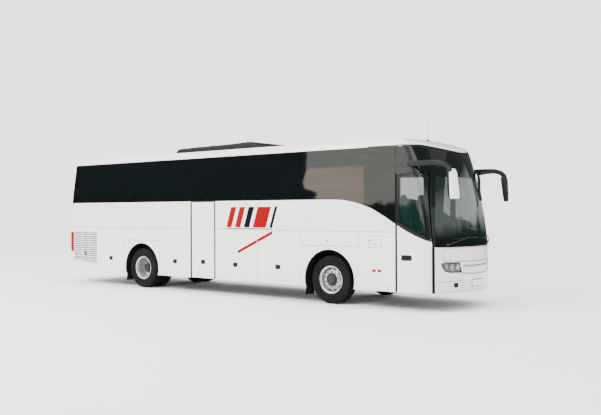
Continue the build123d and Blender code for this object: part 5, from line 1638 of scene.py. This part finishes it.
def seats():
    rows_x = [-8250 + 790 * i for i in range(12)]
    places = []
    for x in rows_x:
        places.append((x / 1000.0, 1))
        if x not in (-4300, -3510):
            places.append((x / 1000.0, -1))
    base = Piece("seat_cushions", "seat_cloth", "seat_side")
    backs = Piece("seat_backrests", "seat_cloth", "seat_side")
    heads = Piece("seat_headrests", "headrest", "seat_side")
    fr = Piece("seat_frames", "black_matt", "silver_trim", "grey_plastic")
    fl = 1.45
    for X, s in places:
        x0 = X + FA
        for yc in (0.538, 0.938):
            y = s * yc
            w = 0.385
            cushion(base, 0, seat_frame_of(x0 - 0.175, y, fl + 0.392, -0.05), (0.455, w, 0.100), 0.014, 0.045, channels=(-0.45, 0.1))
            a = math.radians(-81)
            back = seat_frame_of(x0 - 0.492, y, fl + 0.700, math.radians(-99))
            cushion(backs, 0, back, (0.560, w, 0.085), 0.014, 0.035, channels=(-0.30, 0.30, 0.72))
            head = seat_frame_of(x0 - 0.562, y, fl + 1.018, math.radians(-98))
            cushion(heads, 0, head, (0.200, w * 0.86, 0.078), 0.010, 0.10, nu=20, nv=12)
            # rear shell and pocket lip
            fr.box((-0.33, -0.180, -0.060), (0.34, 0.180, -0.040), 2, r=0.009, seg=1, matrix=back)
        # pedestal, cross rail, arm rests
        fr.box((x0 - 0.37, s * 0.60 - 0.030, fl), (x0 - 0.05, s * 0.60 + 0.030, fl + 0.025), 0, r=0.006, seg=1)
        fr.box((x0 - 0.25, s * 0.60 - 0.022, fl + 0.02), (x0 - 0.17, s * 0.60 + 0.022, fl + 0.335), 0, r=0.010, seg=1)
        fr.box((x0 - 0.36, s * 0.345, fl + 0.315), (x0 - 0.02, s * 1.125, fl + 0.345), 0, r=0.010, seg=1)
        for yc in (0.338, 0.738):
            p = [Vector((x0 - 0.44, s * yc, fl + 0.600)), Vector((x0 - 0.30, s * yc, fl + 0.612)), Vector((x0 - 0.16, s * yc, fl + 0.608)), Vector((x0 - 0.08, s * yc, fl + 0.596))]
            fr.tube(p, [0.014, 0.018, 0.018, 0.012], 8, 0, flat=1.2)
        # grab handle on the aisle side of each back
        p = [Vector((x0 - 0.555, s * 0.352, fl + 0.93)), Vector((x0 - 0.60, s * 0.345, fl + 1.00)), Vector((x0 - 0.595, s * 0.352, fl + 1.07))]
        fr.tube(p, 0.011, 8, 1)
    b1 = base.done(ROOT, angle=60)
    b2 = backs.done(ROOT, angle=60)
    b3 = heads.done(ROOT, angle=60)
    b4 = fr.done(ROOT, angle=40)
    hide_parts("passenger_seats")
    for b in (b1, b2, b3):
        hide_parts("passenger_seats")

    # driver's seat: bucket cushion, bolstered back, headrest, air pedestal
    dr = Piece("driver_seat_cushions", "seat_cloth", "seat_side", "headrest")
    x0, y, fl = 1.880 + FA, 0.55, 1.05
    cushion(dr, 0, seat_frame_of(x0 - 0.185, y, fl + 0.395, -0.07), (0.470, 0.470, 0.110), 0.016, 0.05, nu=28, nv=18, channels=(-0.4, 0.15))
    cushion(dr, 0, seat_frame_of(x0 - 0.500, y, fl + 0.700, math.radians(-99)), (0.600, 0.460, 0.095), 0.016, 0.04, nu=28, nv=18, channels=(-0.3, 0.3))
    cushion(dr, 2, seat_frame_of(x0 - 0.575, y, fl + 1.035, math.radians(-98)), (0.165, 0.270, 0.080), 0.010, 0.10, nu=24, nv=14)
    for sy in (-1, 1):
        cushion(dr, 1, seat_frame_of(x0 - 0.470, y + sy * 0.205, fl + 0.690, math.radians(-99)), (0.480, 0.075, 0.115), 0.006, 0.05, nu=16, nv=10)
        cushion(dr, 1, seat_frame_of(x0 - 0.175, y + sy * 0.210, fl + 0.412, -0.07), (0.420, 0.070, 0.110), 0.006, 0.05, nu=16, nv=10)
    ob = dr.done(ROOT, angle=60)
    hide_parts("driver_seat")
    df = Piece("driver_seat_frame", "black_matt", "silver_trim", "red")
    df.box((x0 - 0.40, y - 0.17, fl + 0.002), (x0 - 0.06, y + 0.17, fl + 0.045), 0, r=0.012)
    for k in range(5):
        df.box((x0 - 0.35 + 0.006 * (k % 2), y - 0.140, fl + 0.05 + 0.046 * k), (x0 - 0.11 - 0.006 * (k % 2), y + 0.140, fl + 0.088 + 0.046 * k), 0, r=0.015)
    df.box((x0 - 0.42, y - 0.21, fl + 0.285), (x0 - 0.02, y + 0.21, fl + 0.335), 0, r=0.016)
    df.tube([Vector((x0 - 0.45, y - 0.235, fl + 0.62)), Vector((x0 - 0.30, y - 0.242, fl + 0.635)), Vector((x0 - 0.16, y - 0.238, fl + 0.63))], [0.016, 0.022, 0.018], 10, 0)
    df.tube([Vector((x0 - 0.585, y - 0.05, fl + 0.93)), Vector((x0 - 0.592, y - 0.05, fl + 1.00))], 0.007, 8, 1)
    df.tube([Vector((x0 - 0.585, y + 0.05, fl + 0.93)), Vector((x0 - 0.592, y + 0.05, fl + 1.00))], 0.007, 8, 1)
    ob = df.done(ROOT, angle=40)
    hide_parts("driver_seat")


seats()


def cabin_trim():
    """Luggage racks with reading panels, grab rails, partitions and the dashboard's fittings."""
    pc = Piece("luggage_racks", "liner", "grey_plastic", "silver_trim", "white_lens")
    for s in (-1, 1):
        prof = [(1.165, 2.92), (1.10, 2.895), (0.86, 2.885), (0.745, 2.905), (0.715, 2.945), (0.720, 2.985), (0.745, 3.010), (0.760, 2.985), (0.790, 2.935), (1.10, 2.930), (1.165, 2.955)]
        rows = []
        for X in [-8.75 + 9.95 * i / 40 for i in range(41)]:
            rows.append([Vector((X + FA, s * y, z)) for y, z in prof])
        pc.grid(rows, 0, close_v=True, caps=True)
        for i in range(12):
            X = -8.45 + 0.79 * i
            pc.box((X - 0.16 + FA, s * 0.80, 2.868), (X + 0.16 + FA, s * 1.02, 2.889), 1, r=0.008)
            for k in (-0.09, 0.09):
                pc.lathe([(0.020, 0.0), (0.020, 0.004), (0.012, 0.006), (0.0005, 0.0062)], (X + k + FA, s * 0.90, 2.866), s, seg=12, m=3)
        pc.tube([Vector((X + FA, s * 0.712, 2.965)) for X in (-8.7, -6.0, -3.0, 0.0, 1.18)], 0.010, 8, 2)
    pc.done(ROOT, angle=40)

    pc = Piece("cabin_partitions", "seat_side", "headrest", "silver_trim", "grey_plastic")
    # two padded panels behind the driver, rounded at the top
    for k, (X, y) in enumerate(((0.74, 0.62), (0.98, 0.985))):
        rows = []
        hw = 0.135 if k == 0 else 0.150
        for off in (-0.028, -0.022, 0.022, 0.028):
            rr = 1.0 if abs(off) < 0.025 else 0.92
            row = []
            for i in range(40):
                a = 2 * math.pi * i / 40
                c, sn = math.cos(a), math.sin(a)
                kk = 1.0 / (abs(c) ** 3.2 + abs(sn) ** 3.2) ** (1 / 3.2)
                row.append(Vector((X + FA + off, y + hw * rr * c * kk, 1.985 + 0.375 * rr * sn * kk)))
            rows.append(row)
        pc.grid(rows, 1, close_v=True, caps=True)
        pc.tube([Vector((X + FA, y - 0.10, 1.46)), Vector((X + FA, y - 0.10, 1.68))], 0.016, 10, 2)
        pc.tube([Vector((X + FA, y + 0.10, 1.46)), Vector((X + FA, y + 0.10, 1.68))], 0.016, 10, 2)
    # grab rails by both doorways
    for pts in ([(1.62, -0.60, 1.10), (1.62, -0.60, 1.95), (1.58, -0.62, 2.10), (1.45, -0.66, 2.16)],
                [(-3.36, -0.60, 1.46), (-3.36, -0.60, 2.05), (-3.33, -0.62, 2.18), (-3.22, -0.66, 2.22)]):
        pc.tube([Vector((a + FA, b, c)) for a, b, c in pts], 0.017, 12, 2)
    pc.done(ROOT, angle=45)

    # dashboard fittings
    pc = Piece("dashboard_fittings", "black_matt", "black_gloss", "grey_plastic", "white_lens", "silver_trim")
    x0 = 2.16 + FA
    got = []
    for y in (0.43, 0.67):
        c = Vector((x0 + 0.03, y, 1.700))
        n = Vector((-0.86, 0, 0.51)).normalized()
        m = Matrix.Translation(c) @ n.to_track_quat("Z", "Y").to_matrix().to_4x4()
        rows = [[m @ Vector((r * math.cos(a), r * math.sin(a), o)) for a in [2 * math.pi * i / 36 for i in range(36)]] for r, o in
                ((0.086, -0.055), (0.086, 0.010), (0.080, 0.016), (0.074, 0.014), (0.070, 0.004), (0.001, 0.004))]
        pc.grid(rows[:5], 0, close_v=True)
        pc.grid(rows[4:], 1, close_v=True)
        nd = [m @ Vector((0, 0, 0.007)), m @ Vector((0.035, 0.040, 0.007))]
        pc.tube(nd, 0.0022, 6, 3)
        for k in range(11):
            a = math.radians(-45 + 27 * k)
            pc.tube([m @ Vector((0.060 * math.cos(a), 0.060 * math.sin(a), 0.006)), m @ Vector((0.067 * math.cos(a), 0.067 * math.sin(a), 0.006))], 0.0014, 4, 3)
    # binnacle hood
    rows = []
    for j in range(7):
        t = j / 6
        rows.append([Vector((x0 + 0.16 - 0.19 * t, 0.55 + (0.29 - 0.02 * t) * math.cos(a), 1.640 + (0.150 + 0.02 * t) * math.sin(a))) for a in [math.pi * i / 24 for i in range(25)]])
    rows += [[p + Vector((0.004, 0, -0.012)) for p in r] for r in reversed(rows)]
    pc.grid(rows, 0)
    # row of switches and air vents
    for k in range(8):
        pc.box((x0 + 0.045, 0.10 - 0.045 * k, 1.640), (x0 + 0.075, 0.135 - 0.045 * k, 1.690), 2, r=0.006)
    for y in (-0.45, -0.75, -1.0, 0.98):
        c = Vector((2.50 + FA, y, 1.700))
        rows = [[c + Vector((r * math.cos(a), r * math.sin(a), o)) for a in [2 * math.pi * i / 28 for i in range(28)]] for r, o in
                ((0.050, -0.06), (0.050, 0.006), (0.043, 0.010), (0.038, 0.004), (0.001, 0.001))]
        pc.grid(rows, 0, close_v=True)
        for q in (-0.02, 0.0, 0.02):
            pc.tube([c + Vector((-0.036, q, 0.006)), c + Vector((0.036, q, 0.006))], 0.003, 6, 2)
    # steering column and wheel's boss
    pc.tube([Vector((2.20 + FA, 0.55, 1.42)), Vector((2.10 + FA, 0.55, 1.60)), Vector((2.045 + FA, 0.55, 1.676))], [0.075, 0.058, 0.045], 20, 0)
    c = Vector((2.030 + FA, 0.55, 1.690))
    n = Vector((-0.75, 0, 0.66)).normalized()
    m = Matrix.Translation(c) @ n.to_track_quat("Z", "Y").to_matrix().to_4x4()
    rows = [[m @ Vector((r * math.cos(a), r * math.sin(a), o)) for a in [2 * math.pi * i / 32 for i in range(32)]] for r, o in
            ((0.060, -0.02), (0.066, 0.014), (0.058, 0.026), (0.030, 0.033), (0.001, 0.034))]
    pc.grid(rows, 2, close_v=True)
    # rolled sun blind over the windscreen's head
    pts = [Vector((2.02 + FA, y, 2.86)) for y in (-0.95, -0.5, 0.0, 0.5, 0.95)]
    pc.tube(pts, 0.035, 16, 2)
    pc.done(ROOT, angle=45)


cabin_trim()


# ------------------------------------------------------------------- stage
def studio():
    bpy.ops.mesh.primitive_plane_add(size=160, location=(0, 0, 0))
    floor = bpy.context.object
    floor.name = "studio_floor"
    m, nt, p = material("studio_floor_paint")
    v = coords(nt)
    n = noise(nt, v, 0.3)
    c = ramp(nt, n, "Fac", [(0.3, (0.94, 0.94, 0.94)), (0.7, (0.96, 0.96, 0.96))])
    link(nt, c, "Color", p, "Base Color")
    r = ramp(nt, n, "Fac", [(0.3, 0.85), (0.7, 0.95)])
    link(nt, r, "Color", p, "Roughness")
    setp(p, Specular_IOR_Level=0.1)
    floor.data.materials.append(m)
    w = bpy.data.worlds.new("studio")
    bpy.context.scene.world = w
    w.use_nodes = True
    bg = w.node_tree.nodes["Background"]
    bg.inputs["Color"].default_value = (1, 1, 1, 1)
    bg.inputs["Strength"].default_value = 2.6

    def area(name, loc, to, size, power, color=(1, 1, 1)):
        l = bpy.data.lights.new(name, "AREA")
        l.shape = "RECTANGLE"
        l.size, l.size_y = size
        l.energy = power
        l.color = color
        o = bpy.data.objects.new(name, l)
        bpy.context.scene.collection.objects.link(o)
        o.location = loc
        o.rotation_euler = (Vector(to) - Vector(loc)).to_track_quat("-Z", "Y").to_euler()
        return o

    area("key", (-4, -16, 14), (0, 0, 1.5), (14, 8), 4800)
    area("fill", (16, 4, 10), (2, 0, 1.5), (8, 8), 60)

    def card(name, corners, stops, strength):
        """A reflection card, seen only in gloss: a vertical fade of plain greys."""
        me = bpy.data.meshes.new(name)
        me.from_pydata([Vector(c) for c in corners], [], [(0, 1, 2, 3)])
        ob = bpy.data.objects.new(name, me)
        bpy.context.scene.collection.objects.link(ob)
        mt = bpy.data.materials.new(name)
        mt.use_nodes = True
        nt = mt.node_tree
        nt.nodes.clear()
        out = nt.nodes.new("ShaderNodeOutputMaterial")
        em = nt.nodes.new("ShaderNodeEmission")
        tc = nt.nodes.new("ShaderNodeTexCoord")
        sp = nt.nodes.new("ShaderNodeSeparateXYZ")
        link(nt, tc, "Object", sp, "Vector")
        ns = noise(nt, tc_map(nt, tc), 0.8, 5.0)
        zz = calc(nt, "MULTIPLY_ADD", ns.outputs["Fac"], 0.9, calc(nt, "SUBTRACT", sp.outputs["Z"], 0.45))
        mr = nt.nodes.new("ShaderNodeMapRange")
        mr.inputs["From Max"].default_value = 10.0
        nt.links.new(zz, mr.inputs["Value"])
        rp = ramp(nt, mr, "Result", stops)
        link(nt, rp, "Color", em, "Color")
        em.inputs["Strength"].default_value = strength
        link(nt, em, "Emission", out, "Surface")
        me.materials.append(mt)
        for k in ("visible_camera", "visible_diffuse", "visible_transmission", "visible_volume_scatter", "visible_shadow"):
            setattr(ob, k, False)

    # rear part of the side sees a dark card, its front part a pale taupe one
    y = -13.0
    card("card_rear", [(-40, y, -1), (FA - 10.9, y, -1), (FA - 10.9, y, 10), (-40, y, 10)], [(0.0, (0.01, 0.012, 0.012)), (1.0, (0.02, 0.022, 0.022))], 1.0)

    # pale front with a brighter field in it, a ragged dark edge to the rear and a dark foot
    me = bpy.data.meshes.new("card_side")
    me.from_pydata([(FA - 10.9, y, -1), (FA + 4.0, y, -1), (FA + 4.0, y, 10), (FA - 10.9, y, 10)], [], [(0, 1, 2, 3)])
    ob = bpy.data.objects.new("card_side", me)
    bpy.context.scene.collection.objects.link(ob)
    mt = bpy.data.materials.new("card_side")
    mt.use_nodes = True
    nt = mt.node_tree
    nt.nodes.clear()
    out = nt.nodes.new("ShaderNodeOutputMaterial")
    em = nt.nodes.new("ShaderNodeEmission")
    cx, _, cz = xyz(nt)
    v = coords(nt)
    rag = noise(nt, v, 1.6, 6.0, 0.65).outputs["Fac"]
    low = calc(nt, "SUBTRACT", 1.0, step(nt, cz, 2.85, 0.12))
    edge = calc(nt, "ADD", calc(nt, "MULTIPLY_ADD", low, 0.60, -6.95), calc(nt, "MULTIPLY", rag, 0.75))
    lit = step(nt, calc(nt, "SUBTRACT", cx, edge), 0.0, 0.02)
    hump = calc(nt, "MULTIPLY_ADD", rag, 0.9, calc(nt, "SUBTRACT", cz, 0.45))
    lit = calc(nt, "MULTIPLY", lit, step(nt, hump, 2.30, 0.08))
    streak = noise(nt, coords(nt, (0.12, 1.0, 1.6)), 3.0, 4.0)
    warm = ramp(nt, streak, "Fac", [(0.35, (1.46, 1.23, 1.00)), (0.65, (1.74, 1.47, 1.20))])
    cool = ramp(nt, streak, "Fac", [(0.35, (0.86, 0.82, 0.76)), (0.65, (1.02, 0.98, 0.90))])
    field = calc(nt, "MULTIPLY", calc(nt, "SUBTRACT", 1.0, step(nt, cx, -3.68, 0.04)), calc(nt, "SUBTRACT", 1.0, step(nt, cz, 3.75, 0.05)))
    nt.links.new(mix(nt, lit, (0.006, 0.007, 0.006), mix(nt, field, cool.outputs["Color"], warm.outputs["Color"])), em.inputs["Color"])
    em.inputs["Strength"].default_value = 2.6
    link(nt, em, "Emission", out, "Surface")
    me.materials.append(mt)
    for q in ("visible_camera", "visible_diffuse", "visible_transmission", "visible_volume_scatter", "visible_shadow"):
        setattr(ob, q, False)

    card("card_pillar", [(FA + 4.0, y, -1), (FA + 12.0, y, -1), (FA + 12.0, y, 14), (FA + 4.0, y, 14)],
         [(0.0, (0.02, 0.03, 0.025)), (0.25, (0.03, 0.04, 0.035)), (0.45, (0.16, 0.16, 0.145)), (0.62, (0.20, 0.20, 0.19)), (0.85, (0.80, 0.80, 0.76))], 1.6)

    card("card_left", [(FA - 3.39, 13.6, -1), (-42, 13.6, -1), (-42, 13.6, 30), (FA - 3.39, 13.6, 30)],
         [(0.0, (0.015, 0.02, 0.018)), (0.3, (0.03, 0.035, 0.033)), (1.0, (0.10, 0.11, 0.11))], 1.4)

    # curved card in front: pale grey-green with upright streaks, dark at its foot
    me = bpy.data.meshes.new("card_front")
    n = 40
    pts = []
    for z in (-1.0, 40.0):
        for i in range(n + 1):
            a = math.radians(-24 + 128 * i / n)
            pts.append((FA + 14.0 * math.cos(a), 14.0 * math.sin(a), z))
    me.from_pydata(pts, [], [(i, i + 1, n + 2 + i, n + 1 + i) for i in range(n)])
    ob = bpy.data.objects.new("card_front", me)
    bpy.context.scene.collection.objects.link(ob)
    mt = bpy.data.materials.new("card_front")
    mt.use_nodes = True
    nt = mt.node_tree
    nt.nodes.clear()
    out = nt.nodes.new("ShaderNodeOutputMaterial")
    em = nt.nodes.new("ShaderNodeEmission")
    v = coords(nt, (1.0, 1.0, 0.06))
    ns = noise(nt, v, 0.9, 5.0, 0.6)
    c1 = ramp(nt, ns, "Fac", [(0.32, (0.34, 0.40, 0.37)), (0.46, (0.52, 0.58, 0.55)), (0.56, (0.42, 0.48, 0.45)), (0.70, (0.66, 0.71, 0.69))])
    tc = nt.nodes.new("ShaderNodeTexCoord")
    sp = nt.nodes.new("ShaderNodeSeparateXYZ")
    link(nt, tc, "Object", sp, "Vector")
    v2 = coords(nt)
    n2 = noise(nt, v2, 0.7, 4.0)
    zz = calc(nt, "MULTIPLY_ADD", n2.outputs["Fac"], 1.4, calc(nt, "SUBTRACT", sp.outputs["Z"], 0.7))
    far = step(nt, sp.outputs["Y"], 12.6, 0.6)
    k = step(nt, calc(nt, "ADD", zz, far), 3.3, 0.5)
    high = step(nt, calc(nt, "MULTIPLY_ADD", far, 2.2, sp.outputs["Z"]), 6.4, 0.7)
    low = mix(nt, k, (0.012, 0.022, 0.018), c1.outputs["Color"])
    nt.links.new(mix(nt, high, low, (0.05, 0.058, 0.062)), em.inputs["Color"])
    em.inputs["Strength"].default_value = 2.8
    link(nt, em, "Emission", out, "Surface")
    me.materials.append(mt)
    for q in ("visible_camera", "visible_diffuse", "visible_transmission", "visible_volume_scatter", "visible_shadow"):
        setattr(ob, q, False)


def tc_map(nt, tc):
    mp = nt.nodes.new("ShaderNodeMapping")
    link(nt, tc, "Object", mp, "Vector")
    return mp


studio()
